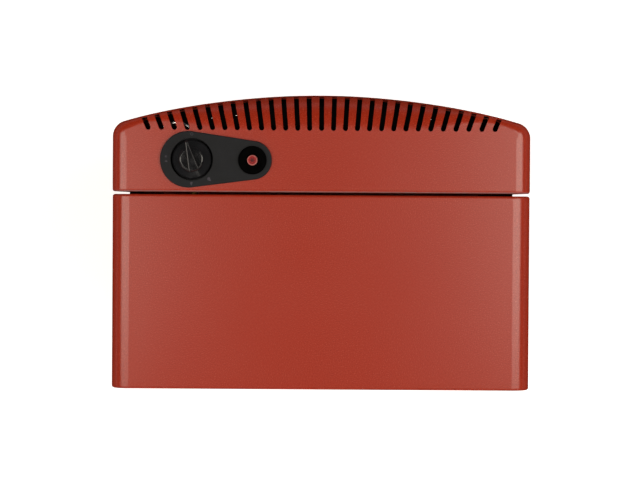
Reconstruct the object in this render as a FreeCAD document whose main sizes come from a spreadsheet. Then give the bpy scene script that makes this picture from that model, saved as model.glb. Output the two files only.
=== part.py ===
"""Gas cabinet heater: a sheet steel cabinet on castors with a bow front and a radiant gas burner.

Millimetres, +Z up. The front faces -Y, the right-hand side seen from the front is +X, and the
origin lies on the floor under the middle of the cabinet. The front cabinet holds the burner, the
gas tap and the igniter under a pressed top cover. Behind it a hood and a lift-out rear panel close
the space for the gas cylinder, which stands in the base tray.
"""
import FreeCAD, Part
import math
import os
import Sketcher
from FreeCAD import Placement, Rotation, Vector
from types import SimpleNamespace

DOC = FreeCAD.newDocument("gas_cabinet_heater")

# Driving dimensions: name, number and what it measures
DIMENSIONS = (
    # Cabinet
    ("overall_width", 420, "cabinet across its sides"),
    ("overall_depth", 296, "front of the bow to the back of the hood"),
    ("top_height", 720, "floor to the flat top"),
    ("ground_gap", 58, "floor to the underside of the base tray"),
    ("sheet", 1, "steel sheet of the case and the inner panels"),
    ("seat_gap", 0.3, "gap where one piece sits in or on another"),
    ("front_depth", 98.5, "front of the bow to the seam behind the controls"),
    ("seam_gap", 2.5, "open seam between the front cabinet and the hood"),
    ("bow_radius", 722, "plan radius of the bow front"),
    ("corner_radius", 16, "plan radius of the front corners"),
    ("edge_radius", 15, "rounded top edges along the sides of the front cabinet"),
    ("shoulder_line", 35, "front of the bow to the line where the shoulder starts to drop"),
    ("shoulder_station", 105, "middle to the point that steers the shoulder's radius"),
    ("shoulder_end", 10, "shoulder's radius beside the front corners"),
    ("cover_skirt", 64, "height of the pressed top cover"),
    ("cover_gap", 0.8, "visible joint under the top cover"),
    ("cover_lap", 10, "tongue of the front shell inside the top cover"),
    ("flange", 14, "inward flanges along the seam and the back"),
    ("hood_radius", 18, "bends between the hood's top and its sides"),
    ("fold_radius", 2.5, "folds into the flanges"),
    ("seam_strip_top", 560, "floor to the top of the strips in the seam at the sides"),
    ("seam_strip_inset", 6.7, "outside of the case to those strips"),
    # Hot air slots in the shoulder
    ("slots_each_side", 14, "slots on each side of the middle one"),
    ("slot_width", 5, "one slot across"),
    ("slot_fan", 505, "slot ends to the point they fan out from"),
    ("slot_pitch", 1.355, "degrees from one slot's end to the next"),
    ("slot_lean", 1.62, "degrees that each slot leans more than the last"),
    ("slot_setback", 34.2, "front of the bow to the slots' round ends"),
    ("slot_lip", 2, "metal left in front of the slots"),
    ("slot_drop", 44, "depth that the slots reach below the flat top"),
    # Base tray and rear panel
    ("tray_rim", 20, "upturned rim of the base tray"),
    ("platform_half", 105, "middle to the side of the raised platform for the cylinder"),
    ("platform_margin", 8, "partition and rear panel to the platform"),
    ("platform_rise", 4, "platform above the tray's floor"),
    ("floor_vent_length", 70, "one vent in the tray's floor, end to end"),
    ("floor_vent_width", 8, "one vent in the tray's floor across"),
    ("floor_vent_pitch", 40, "vent to vent in the tray's floor"),
    ("panel_gap", 0.5, "gap round the rear panel"),
    ("panel_return", 12, "folded edges of the rear panel"),
    ("vent_length", 110, "one cooling slot in the rear panel, end to end"),
    ("vent_width", 6, "one cooling slot across"),
    ("vent_spread", 80, "middle of the panel to the middle of the slots beside it"),
    ("vent_rows", 5, "rows in each field of cooling slots"),
    ("vent_pitch", 15, "row to row"),
    ("vent_low", 130, "floor to the lowest row of the low field"),
    ("vent_high", 540, "floor to the lowest row of the high field"),
    ("finger_length", 96, "finger hole in the rear panel, end to end"),
    ("finger_width", 28, "finger hole across"),
    ("finger_height", 656, "floor to the middle of the finger hole"),
    ("clip_spread", 130, "middle of the panel to a clip that holds its top edge"),
    ("clip_width", 22, "panel clip across"),
    ("clip_reach", 8, "tongue of a clip under the panel's top edge"),
    # Partition behind the burner
    ("partition_setback", 18.5, "seam to the front of the partition"),
    ("partition_top_gap", 20, "partition's top edge below the flat top"),
    ("partition_flange", 14, "side flanges of the partition"),
    ("shelf_height", 340, "floor to the top of the shelf under the burner"),
    ("shelf_depth", 50, "shelf from the partition to its front edge"),
    ("shelf_gap", 4, "air gap between the shelf and the front shell"),
    # Radiant window and wire guard
    ("window_width", 330, "radiant window across"),
    ("window_height", 236, "radiant window from bottom to top"),
    ("window_radius", 18, "corners of the radiant window"),
    ("burner_height", 500, "floor to the middle of the burners"),
    ("guard_wire", 2.6, "wire of the guard, diameter"),
    ("guard_pitch", 20, "upright wire to upright wire"),
    ("guard_bars", 4, "bowed wires across the guard"),
    ("guard_bar_margin", 22, "window edge to the outermost bowed wires"),
    ("guard_lap", 6, "guard behind the window's edge"),
    ("guard_bite", 0.6, "wires welded into each other"),
    # Reflector and flue
    ("reflector_margin", 5, "window edge to the reflector's rim"),
    ("reflector_setback", 27, "front of the bow to the reflector's rim"),
    ("reflector_sheet", 0.8, "bright sheet of the reflector"),
    ("pilot_notch", 44, "cut-out for the pilot in the reflector's floor, across"),
    ("deflector_half", 160, "middle to the side edge of the flue deflector"),
    ("deflector_setback", 38.2, "front of the bow to the deflector's top edge"),
    ("baffle_height", 640, "floor to the top of the baffle under the slots"),
    ("baffle_gap", 0.2, "front shell to the baffle's front edge"),
    # Burners
    ("burner_pitch", 100, "burner to burner"),
    ("burner_width", 96, "one burner box across"),
    ("burner_rise", 150, "one burner box from bottom to top"),
    ("burner_depth", 34, "one burner box from front to back"),
    ("burner_setback", 45, "front of the bow to the front of the burner boxes"),
    ("burner_wall", 1, "burner box sheet"),
    ("throat_radius", 11, "mixing throat under a burner box"),
    ("throat_wall", 1, "wall of the mixing throat"),
    ("throat_length", 22, "mixing throat from its mouth to the box"),
    ("gasket_wall", 1.6, "fibre gasket round a plaque"),
    ("plaque_depth", 12.5, "ceramic plaque from front to back"),
    ("frame_border", 8, "burner frame beyond the outer burner boxes"),
    ("frame_overlap", 4, "burner frame over the edge of a plaque"),
    ("bracket_rise", 120, "burner bracket from bottom to top"),
    ("bracket_foot", 10, "feet of the burner brackets"),
    ("bracket_clear", 2, "burner box to the bracket beside it"),
    # Gas supply
    ("jet_gap", 6, "injector's tip below the throat"),
    ("jet_radius", 4, "injector's thread"),
    ("jet_rise", 12, "injector above its bar"),
    ("jet_tip_radius", 2.2, "injector's tip"),
    ("jet_hex", 11, "injector's hexagon across its flats"),
    ("jet_hex_rise", 9, "injector's hexagon from bottom to top"),
    ("bar_sheet", 1.5, "injector bar sheet"),
    ("bar_half", 118, "middle to the end of the injector bar"),
    ("bar_lip", 13, "injector bar's lip against the partition"),
    ("bar_front", 12, "injector axis to the front of the bar"),
    ("tube_radius", 2.5, "gas tube outside"),
    ("tube_bore", 1.75, "gas tube inside"),
    ("tube_bend", 8, "gas tube bends"),
    ("tube_insert", 6, "gas tube inside its socket"),
    ("tube_pitch", 7, "gas tube to gas tube where they run together"),
    ("tube_drop", 12, "injector's underside to the first tube run"),
    ("riser_offset", 166, "middle to the first gas tube that rises beside the burner"),
    # Gas tap
    ("knob_offset", 129.7, "middle to the knob's axis"),
    ("control_setback", 66, "front of the bow to the knob and igniter"),
    ("tap_width", 40, "tap body across"),
    ("tap_depth", 24, "tap body from front to back"),
    ("tap_rise", 38, "tap body from bottom to top"),
    ("tap_drop", 30, "flat top to the top of the tap body"),
    ("tap_neck_radius", 8, "tap's threaded neck"),
    ("tap_neck_rise", 7, "tap's threaded neck above the body"),
    ("outlet_pitch", 12, "tap outlet to tap outlet"),
    ("outlet_radius", 4.5, "tap outlet boss"),
    ("outlet_rise", 8, "tap outlet boss below the body"),
    ("plug_top_radius", 8, "tap plug at its top"),
    ("plug_bottom_radius", 6.5, "tap plug at its bottom"),
    ("plug_rise", 22, "tap plug from bottom to top"),
    ("plug_drop", 8, "tap body's top to the plug's top"),
    ("plug_floor", 6, "closed bottom of the tap plug"),
    ("running_gap", 0.05, "gap of a turning or sliding fit"),
    ("spindle_radius", 4, "spindle in the knob"),
    ("spindle_tail", 2.5, "spindle's tail in the tap plug, radius"),
    ("spindle_tail_depth", 10, "spindle's tail inside the tap plug"),
    ("tap_bracket_sheet", 1.5, "tap bracket sheet"),
    ("tap_bracket_width", 66, "tap bracket across"),
    ("tap_bracket_front", 20, "tap axis to the bracket's front edge"),
    ("tap_bracket_leg", 44, "bracket's leg on the partition"),
    ("tap_nut", 22, "tap nut across its flats"),
    ("tap_nut_rise", 5, "tap nut from bottom to top"),
    ("inlet_rise", 16, "tap body's underside to the hose nozzle"),
    ("nozzle_thread_radius", 6, "hose nozzle where it screws into the tap"),
    ("nozzle_thread", 4, "hose nozzle inside the tap"),
    ("nozzle_hex", 17, "hose nozzle's hexagon across its flats"),
    ("nozzle_hex_length", 8, "hose nozzle's hexagon along its axis"),
    ("nozzle_radius", 4.5, "spigot for the gas hose"),
    ("nozzle_length", 32, "spigot for the gas hose along its axis"),
    ("nozzle_bore", 2.5, "gas way through the nozzle"),
    ("nozzle_nose", 0.8, "chamfer at the spigot's end"),
    ("nozzle_hole_gap", 1.5, "partition's hole round the nozzle"),
    # Control plate and knob
    ("plate_rise", 3, "control plate above the top"),
    ("plate_edge", 0.8, "rounded rim of the control plate"),
    ("plate_lip", 1.9, "control plate over the edge of its cut-out"),
    ("plate_collar", 2.5, "control plate's collar below the flat top"),
    ("plate_shift", 3.4, "knob's axis to the centre of the plate's wide end"),
    ("plate_wide_radius", 28.3, "control plate's wide end"),
    ("plate_narrow_radius", 19.4, "control plate's narrow end"),
    ("well_radius", 21.25, "round well that the knob sinks into"),
    ("well_wall", 1.2, "wall of the well"),
    ("well_depth", 12, "well below the plate's top"),
    ("well_floor", 1.5, "floor of the well"),
    ("well_hole_gap", 0.8, "well's hole round the spindle"),
    ("knob_skirt_radius", 19.5, "knob's skirt"),
    ("knob_skirt_rise", 6, "knob's skirt before it tapers"),
    ("knob_taper_rise", 5.5, "taper from the skirt to the boss"),
    ("knob_boss_radius", 12.75, "knob's round boss"),
    ("knob_boss_rise", 7, "knob's boss above the taper"),
    ("knob_edge", 1.2, "rounded rim of the grip"),
    ("knob_boss_edge", 2.5, "rounded edge of the knob's boss"),
    ("knob_grip_rise", 7, "grip above the boss"),
    ("knob_grip_tip", 18, "knob's axis to the tip of the grip"),
    ("knob_grip_tail", 12, "knob's axis to the tail of the grip"),
    ("knob_tip_width", 3, "grip across at its tip"),
    ("knob_tail_width", 11, "grip across at its tail"),
    ("knob_turned", 15, "degrees that the grip points left of straight ahead"),
    ("knob_travel", 4, "knob pressed in to light the pilot"),
    ("knob_floor_gap", 0.6, "pressed knob above the well's floor"),
    ("knob_bore_depth", 14, "spindle inside the knob"),
    # Igniter
    ("igniter_offset", 69, "middle to the igniter's axis"),
    ("igniter_shift", 0.6, "igniter's axis behind the knob's"),
    ("bezel_radius", 14.2, "igniter's bezel"),
    ("bezel_rise", 3.6, "igniter's bezel above the plate"),
    ("bezel_edge", 1.4, "rounded rim of the bezel"),
    ("bezel_dish", 1.6, "dish in the bezel"),
    ("bezel_dish_radius", 10.5, "dish in the bezel at its rim"),
    ("igniter_neck", 9, "igniter's threaded neck, radius"),
    ("igniter_neck_rise", 23, "igniter's neck below the plate's top"),
    ("igniter_nut", 24, "igniter's nut across its flats"),
    ("igniter_nut_rise", 5, "igniter's nut from bottom to top"),
    ("igniter_rise", 40, "igniter's body below its neck"),
    ("igniter_pin", 2, "igniter's terminal, radius"),
    ("igniter_pin_rise", 6, "igniter's terminal below its body"),
    ("button_radius", 5.2, "igniter's button"),
    ("button_gap", 0.4, "gap round the button"),
    ("button_rise", 3.4, "button above the bezel's dish"),
    ("button_edge", 1, "rounded rim of the button"),
    ("button_travel", 5, "button's stroke"),
    # Pilot, thermocouple and spark electrode
    ("pilot_offset", 70, "middle to the pilot's axis"),
    ("pilot_spacing", 12, "pilot to the electrode and to the thermocouple"),
    ("pilot_reach", 7, "burner frame to the pilot's axis"),
    ("pilot_sheet", 1, "pilot bracket sheet"),
    ("pilot_lip", 11, "pilot bracket's lip on the burner frame"),
    ("pilot_radius", 3.5, "pilot burner"),
    ("pilot_rise", 26, "pilot burner above its bracket"),
    ("pilot_foot", 9, "pilot fittings below their bracket"),
    ("electrode_radius", 2.6, "electrode's ceramic sleeve"),
    ("electrode_rise", 18, "electrode's ceramic sleeve above the bracket"),
    ("electrode_wire", 0.9, "electrode's wire, radius"),
    ("electrode_tip", 9, "electrode's wire above the sleeve"),
    ("probe_radius", 2.4, "thermocouple probe"),
    ("probe_rise", 30, "thermocouple probe above the bracket"),
    ("lead_radius", 2.4, "ignition lead"),
    ("lead_bend", 8, "ignition lead's bends"),
    ("lead_drop", 16, "electrode's foot to the lead's run under the reflector"),
    ("lead_riser", 188, "middle to the ignition lead's rise"),
    ("lead_pass", 22, "ignition lead in front of the tap's axis"),
    ("lead_under", 14, "igniter's terminal to the lead's upper run"),
    ("probe_lead_radius", 1.2, "thermocouple's capillary"),
    ("probe_lead_bend", 5, "capillary's bends"),
    ("probe_lead_step", 5, "capillary's run below the ignition lead's"),
    ("probe_lead_riser", 194, "middle to the capillary's rise"),
    ("magnet_rise", 22, "tap body's underside to the magnet unit"),
    # Case screws
    ("screw_radius", 1.75, "case screw's shank"),
    ("screw_length", 7, "case screw's shank"),
    ("screw_head_radius", 3.6, "case screw's head"),
    ("screw_head_rise", 2, "case screw's head"),
    ("screw_gap", 0.2, "hole round a case screw"),
    ("screw_low", 12, "tray's underside to the lowest case screws"),
    ("screw_panel_low", 400, "floor to the partition's lower screws"),
    ("screw_panel_high", 630, "floor to the partition's upper screws"),
    ("screw_front_setback", 60, "front of the bow to the front shell's low screws"),
    ("screw_hood_front", 40, "seam to the hood's first low screws"),
    ("screw_hood_pitch", 120, "hood's first to its second low screws"),
    # Castors
    ("castor_spread", 165, "middle to the castors"),
    ("castor_front", 63, "front of the bow to the front castors"),
    ("castor_back", 42, "back of the hood to the rear castors"),
    ("castor_trail", 15, "castor's stem to its axle"),
    ("wheel_radius", 21, "castor wheel"),
    ("wheel_width", 10, "one castor wheel across"),
    ("wheel_inner", 6, "castor's middle to the wheel's inner face"),
    ("wheel_edge", 2.5, "rounded tread"),
    ("hub_radius", 13, "recess in the wheel's outer face"),
    ("hub_recess", 1.5, "depth of that recess"),
    ("axle_radius", 2.5, "castor axle"),
    ("hood_wall", 2.5, "castor's hood"),
    ("hood_clear", 1.3, "castor's hood clear of the wheels"),
    ("hood_skirt", 3, "hood's edge above the axle"),
    ("web_half", 4.5, "castor's middle to the face of its web"),
    ("web_low", 11, "web's lowest edge below the axle"),
    ("boss_radius", 9, "boss round the castor's stem"),
    ("stem_radius", 4, "castor stem"),
    ("stem_depth", 22, "castor stem inside its boss"),
    ("stem_flange_radius", 12, "flange of the stem under the tray"),
    ("stem_flange_rise", 4, "flange of the stem from bottom to top"),
    ("stem_head_radius", 7, "stem's riveted head in the tray"),
    ("stem_head_rise", 2, "stem's riveted head from bottom to top"),
)
SHEET = DOC.addObject("Spreadsheet::Sheet", "sizes")
for row, (alias, number, meaning) in enumerate(DIMENSIONS, start=1):
    SHEET.set(f"A{row}", meaning)
    SHEET.set(f"B{row}", str(number))
    SHEET.setAlias(f"B{row}", alias)
DOC.recompute()


class Size:
    """A number from the sheet, kept with the expression that works it out there."""

    def __init__(self, value, text):
        self.value = float(value)
        self.text = text

    def __add__(self, other):
        other = as_size(other)
        return Size(self.value + other.value, f"({self.text} + {other.text})")

    def __sub__(self, other):
        other = as_size(other)
        return Size(self.value - other.value, f"({self.text} - {other.text})")

    def __mul__(self, other):
        other = as_size(other)
        return Size(self.value * other.value, f"({self.text} * {other.text})")

    def __truediv__(self, other):
        other = as_size(other)
        return Size(self.value / other.value, f"({self.text} / {other.text})")

    def __neg__(self):
        return Size(-self.value, f"(0 - {self.text})")

    def root(self):
        return Size(math.sqrt(self.value), f"sqrt({self.text})")

    def tangent(self):
        return Size(math.tan(math.radians(self.value)), f"tan({self.text} * 1 deg)")

    def sine(self):
        return Size(math.sin(math.radians(self.value)), f"sin({self.text} * 1 deg)")

    def cosine(self):
        return Size(math.cos(math.radians(self.value)), f"cos({self.text} * 1 deg)")


def as_size(item):
    """Any plain number as a Size."""
    return item if isinstance(item, Size) else Size(item, f"({float(item)})")


S = SimpleNamespace(**{alias: Size(number, f"sizes.{alias}") for alias, number, _ in DIMENSIONS})
ORIGIN = (-1, 1)
CENTRE = 3
UP = Vector(0, 0, 1)
ALONG_X = Rotation(Vector(0, 1, 0), 90)
ALONG_Y = Rotation(Vector(1, 0, 0), -90)
UPRIGHT = Rotation()
TOLERANCE = 1e-5
OVERSHOOT = 1
PIECES = []

# Places that several pieces share
HALF_WIDTH = S.overall_width / 2
FRONT = -(S.overall_depth / 2)
BACK = S.overall_depth / 2
SEAM_FRONT = FRONT + S.front_depth
SEAM_BACK = SEAM_FRONT + S.seam_gap
TOP = S.top_height
BOTTOM = S.ground_gap
COVER_BASE = TOP - S.cover_skirt
SHELL_TOP = COVER_BASE - S.cover_gap
TRAY_TOP = BOTTOM + S.tray_rim
LINING = S.sheet + S.seat_gap
PARTITION = SEAM_FRONT - S.partition_setback
BURNER_FRONT = FRONT + S.burner_setback
BURNER_AXIS = BURNER_FRONT + S.burner_depth / 2
BURNER_BASE = S.burner_height - S.burner_rise / 2
CONTROL_LINE = FRONT + S.control_setback
TAP_TOP = TOP - S.tap_drop
TAP_BASE = TAP_TOP - S.tap_rise
PLATE_TOP = TOP + S.plate_rise
WELL_FLOOR = PLATE_TOP - S.well_depth
IGNITER_LINE = CONTROL_LINE + S.igniter_shift
BAR_TOP = BURNER_BASE - S.throat_length - S.jet_gap - S.jet_rise
BAR_BASE = BAR_TOP - S.bar_sheet
JET_BASE = BAR_BASE - S.jet_hex_rise
FRAME_FRONT = BURNER_FRONT - S.burner_wall
REFLECTOR_FRONT = FRONT + S.reflector_setback


def bind(item, prop, size):
    """Tie one property of an object to the sheet."""
    item.setExpression(prop, as_size(size).text)


def piece(item, name):
    """Name a finished piece and keep it for the export."""
    item.Label = name
    PIECES.append(item)
    return item


def put(item, x, y, z, turn=UPRIGHT):
    """Place an object with its turn, its position tied to the sheet."""
    item.Placement = Placement(Vector(), turn)
    bind(item, "Placement.Base.x", x)
    bind(item, "Placement.Base.y", y)
    bind(item, "Placement.Base.z", z)
    return item


def box(name, x, y, z):
    """A block between a low and a high limit on each axis."""
    block = DOC.addObject("Part::Box", name)
    bind(block, "Length", as_size(x[1]) - x[0])
    bind(block, "Width", as_size(y[1]) - y[0])
    bind(block, "Height", as_size(z[1]) - z[0])
    return put(block, x[0], y[0], z[0])


def rod(name, radius, length, x, y, z, turn=UPRIGHT):
    """A round bar that starts at a point and runs along its turned axis."""
    bar = DOC.addObject("Part::Cylinder", name)
    bind(bar, "Radius", radius)
    bind(bar, "Height", length)
    return put(bar, x, y, z, turn)


def cut(name, base, *tools):
    """Take tools away from a base, one after the other."""
    for number, tool in enumerate(tools):
        result = DOC.addObject("Part::Cut", f"{name}_cut_{number}")
        result.Base = base
        result.Tool = tool
        base = result
    return base


def fuse(name, *items):
    """Join items into one solid."""
    result = DOC.addObject("Part::MultiFuse", f"{name}_joined")
    result.Shapes = list(items)
    return result


def common(name, first, second):
    """What two items share."""
    result = DOC.addObject("Part::Common", f"{name}_shared")
    result.Base = first
    result.Tool = second
    return result


def group(name, items):
    """Separate solids of one node, such as a set of screws."""
    result = DOC.addObject("Part::Compound", f"{name}_group")
    result.Links = list(items)
    return result


class Outline:
    """Lines and arcs of one sketch with the conditions and dimensions that hold them."""

    def __init__(self):
        self.geometry = []
        self.conditions = []
        self.dimensions = []

    def line(self, start, end):
        self.geometry.append(Part.LineSegment(Vector(*start), Vector(*end)))
        return len(self.geometry) - 1

    def arc(self, centre, radius, first, last):
        circle = Part.Circle(Vector(*centre), UP, radius)
        self.geometry.append(Part.ArcOfCircle(circle, math.radians(first), math.radians(last)))
        return len(self.geometry) - 1

    def hold(self, kind, *where):
        self.conditions.append(Sketcher.Constraint(kind, *where))

    def measure(self, size, kind, *where):
        size = as_size(size)
        self.dimensions.append((len(self.conditions), size.text))
        self.conditions.append(Sketcher.Constraint(kind, *where, size.value))

    def locate(self, item, point, x, y):
        self.measure(x, "DistanceX", *ORIGIN, item, point)
        self.measure(y, "DistanceY", *ORIGIN, item, point)

    def draw(self, sketch):
        sketch.addGeometry(self.geometry)
        sketch.addConstraint(self.conditions)
        for index, text in self.dimensions:
            sketch.setExpression(f"Constraints[{index}]", text)


def sketch_on(body, plane, outline, offset=0):
    """Draw an outline on one of a body's own origin planes."""
    sketch = body.newObject("Sketcher::SketchObject", f"{body.Name}_sketch")
    support = next(item for item in body.Origin.OriginFeatures if item.Role == plane)
    sketch.AttachmentSupport = [(support, "")]
    sketch.MapMode = "FlatFace"
    bind(sketch, "AttachmentOffset.Base.z", offset)
    outline.draw(sketch)
    return sketch


def prism(name, outline, plane, low, high):
    """Pad an outline between two limits along the axis square to its plane."""
    body = DOC.addObject("PartDesign::Body", name)
    offset = -as_size(high) if plane == "XZ_Plane" else low
    sketch = sketch_on(body, plane, outline, offset)
    pad = body.newObject("PartDesign::Pad", f"{name}_pad")
    pad.Profile = sketch
    bind(pad, "Length", as_size(high) - low)
    return body


def turned(name, outline):
    """Revolve a half section, drawn as radius and height, round the upright axis."""
    body = DOC.addObject("PartDesign::Body", name)
    sketch = sketch_on(body, "XZ_Plane", outline)
    spin = body.newObject("PartDesign::Revolution", f"{name}_spin")
    spin.Profile = sketch
    spin.ReferenceAxis = (sketch, ["V_Axis"])
    spin.Angle = 360
    return body


def round_body(body, radius, chosen):
    """Round the edges of a body that a test picks."""
    DOC.recompute()
    base = body.Tip
    edges = [f"Edge{n}" for n, edge in enumerate(base.Shape.Edges, start=1) if chosen(edge)]
    fillet = body.newObject("PartDesign::Fillet", f"{body.Name}_fillet")
    fillet.Base = (base, edges)
    bind(fillet, "Radius", radius)
    return body


def ends(edge):
    """The two end points of an edge in its own direction."""
    return edge.valueAt(edge.FirstParameter), edge.valueAt(edge.LastParameter)


def middle(edge):
    """The point half-way along an edge."""
    return edge.valueAt((edge.FirstParameter + edge.LastParameter) / 2)


def near(first, second):
    """Whether two numbers are the same place."""
    return abs(first - as_size(second).value) < TOLERANCE


def at_height(height):
    """A test for edges that lie level at one height."""
    return lambda edge: near(middle(edge).z, height) and near(ends(edge)[0].z, height)


def polygon(points):
    """A closed outline through corner points given as pairs of sizes."""
    outline = Outline()
    count = len(points)
    for number, (x, y) in enumerate(points):
        after = points[(number + 1) % count]
        outline.line((as_size(x).value, as_size(y).value),
                     (as_size(after[0]).value, as_size(after[1]).value))
    for number, (x, y) in enumerate(points):
        outline.hold("Coincident", number, 2, (number + 1) % count, 1)
        outline.locate(number, 1, x, y)
    return outline


def hexagon(flats):
    """A hexagon round the origin, across its flats."""
    reach = flats / math.sqrt(3)
    turns = (30 + 60 * number for number in range(6))
    return polygon([(reach * math.cos(math.radians(turn)),
                     reach * math.sin(math.radians(turn))) for turn in turns])


def rounded_box(half_width, low, high, radius):
    """An upright rectangle with four round corners, drawn round the Y axis."""
    outline = Outline()
    reach = half_width.value
    bend = radius.value
    bottom = low.value
    top = high.value
    outline.line((reach, bottom + bend), (reach, top - bend))
    outline.arc((reach - bend, top - bend), bend, 0, 90)
    outline.line((reach - bend, top), (bend - reach, top))
    outline.arc((bend - reach, top - bend), bend, 90, 180)
    outline.line((-reach, top - bend), (-reach, bottom + bend))
    outline.arc((bend - reach, bottom + bend), bend, 180, 270)
    outline.line((bend - reach, bottom), (reach - bend, bottom))
    outline.arc((reach - bend, bottom + bend), bend, 270, 360)
    for item in range(8):
        outline.hold("Tangent", item, 2, (item + 1) % 8, 1)
    for item in (1, 3, 5, 7):
        outline.measure(radius, "Radius", item)
    outline.locate(1, CENTRE, half_width - radius, high - radius)
    outline.locate(5, CENTRE, radius - half_width, low + radius)
    outline.hold("Vertical", 0)
    outline.hold("Horizontal", 2)
    return outline


def arched(half_width, low, high, radius):
    """An upright rectangle with its two top corners round."""
    outline = Outline()
    reach = half_width.value
    bend = radius.value
    outline.line((reach, low.value), (reach, high.value - bend))
    outline.arc((reach - bend, high.value - bend), bend, 0, 90)
    outline.line((reach - bend, high.value), (bend - reach, high.value))
    outline.arc((bend - reach, high.value - bend), bend, 90, 180)
    outline.line((-reach, high.value - bend), (-reach, low.value))
    outline.line((-reach, low.value), (reach, low.value))
    for item in range(4):
        outline.hold("Tangent", item, 2, item + 1, 1)
    outline.hold("Coincident", 4, 2, 5, 1)
    outline.hold("Coincident", 5, 2, 0, 1)
    outline.hold("Vertical", 0)
    outline.hold("Vertical", 4)
    outline.measure(radius, "Radius", 1)
    outline.measure(radius, "Radius", 3)
    outline.locate(5, 1, -half_width, low)
    outline.locate(0, 1, half_width, low)
    outline.measure(high, "DistanceY", *ORIGIN, 2, 1)
    return outline


def bow_plan(inset, rear):
    """The cabinet in plan: a bow front with round corners, straight sides and a straight back.

    Each half of the bow is two arcs, so the shoulder's radius can be steered where they meet.
    """
    outline = Outline()
    reach = HALF_WIDTH - inset
    bow = S.bow_radius - inset
    corner = S.corner_radius - inset
    bow_y = FRONT + S.bow_radius
    corner_x = HALF_WIDTH - S.corner_radius
    span = S.bow_radius - S.corner_radius
    corner_y = bow_y.value - math.sqrt(span.value ** 2 - corner_x.value ** 2)
    lean = math.degrees(math.asin(corner_x.value / span.value))
    station = math.degrees(math.asin(S.shoulder_station.value / bow.value))
    centre = (0, bow_y.value)
    outline.arc(centre, bow.value, 270, 270 + station)
    outline.arc(centre, bow.value, 270 + station, 270 + lean)
    outline.arc((corner_x.value, corner_y), corner.value, 270 + lean, 360)
    outline.line((reach.value, corner_y), (reach.value, rear.value))
    outline.line((reach.value, rear.value), (-reach.value, rear.value))
    outline.line((-reach.value, rear.value), (-reach.value, corner_y))
    outline.arc((-corner_x.value, corner_y), corner.value, 180, 270 - lean)
    outline.arc(centre, bow.value, 270 - lean, 270 - station)
    outline.arc(centre, bow.value, 270 - station, 270)
    right_inner, right_outer, right_corner, right_side, back = range(5)
    left_side, left_corner, left_outer, left_inner = range(5, 9)
    for before, after in ((right_outer, right_corner), (right_corner, right_side),
                          (left_side, left_corner), (left_corner, left_outer)):
        outline.hold("Tangent", before, 2, after, 1)
    for before, after in ((right_inner, right_outer), (right_side, back), (back, left_side),
                          (left_outer, left_inner), (left_inner, right_inner)):
        outline.hold("Coincident", before, 2, after, 1)
    for item in (right_outer, left_outer, left_inner):
        outline.hold("Coincident", item, CENTRE, right_inner, CENTRE)
    outline.hold("PointOnObject", right_inner, CENTRE, -2)
    outline.hold("PointOnObject", right_inner, 1, -2)
    outline.hold("Vertical", right_side)
    outline.hold("Vertical", left_side)
    outline.hold("Horizontal", back)
    outline.measure(bow_y, "DistanceY", *ORIGIN, right_inner, CENTRE)
    outline.measure(bow, "Radius", right_inner)
    outline.measure(corner, "Radius", right_corner)
    outline.measure(corner, "Radius", left_corner)
    outline.measure(reach, "DistanceX", *ORIGIN, right_side, 1)
    outline.measure(-reach, "DistanceX", *ORIGIN, left_side, 1)
    outline.measure(rear, "DistanceY", *ORIGIN, back, 1)
    outline.measure(S.shoulder_station, "DistanceX", *ORIGIN, right_outer, 1)
    outline.measure(-S.shoulder_station, "DistanceX", *ORIGIN, left_inner, 1)
    return outline


def bow_prism(name, inset, rear, low, high):
    """The cabinet's plan, drawn in by an inset, between two heights."""
    return prism(name, bow_plan(as_size(inset), as_size(rear)), "XY_Plane", low, high)


def bow_drop(x):
    """How far the bow has fallen back at a distance from the middle."""
    return S.bow_radius - (S.bow_radius * S.bow_radius - x * x).root()


def obround(length, width):
    """A slot with round ends along the first axis, from the centre of its first end at the origin."""
    outline = Outline()
    radius = width / 2
    far = length.value
    bend = radius.value
    outline.arc((0, 0), bend, 90, 270)
    outline.line((0, -bend), (far, -bend))
    outline.arc((far, 0), bend, -90, 90)
    outline.line((far, bend), (0, bend))
    for item in range(4):
        outline.hold("Tangent", item, 2, (item + 1) % 4, 1)
    outline.hold("Coincident", 0, CENTRE, *ORIGIN)
    outline.hold("Horizontal", 1)
    outline.measure(radius, "Radius", 0)
    outline.measure(length, "DistanceX", *ORIGIN, 2, CENTRE)
    return outline


def obround_holes(name, centres, length, width, plane, low, high):
    """Cutters for slots with round ends that lie across the cabinet, each round its centre."""
    run = length - width
    cutters = []
    for number, (x, y, z) in enumerate(centres):
        cutter = prism(f"{name}_{number}", obround(run, width), plane, low, high)
        cutters.append(put(cutter, as_size(x) - run / 2, y, z))
    return group(name, cutters)


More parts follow.
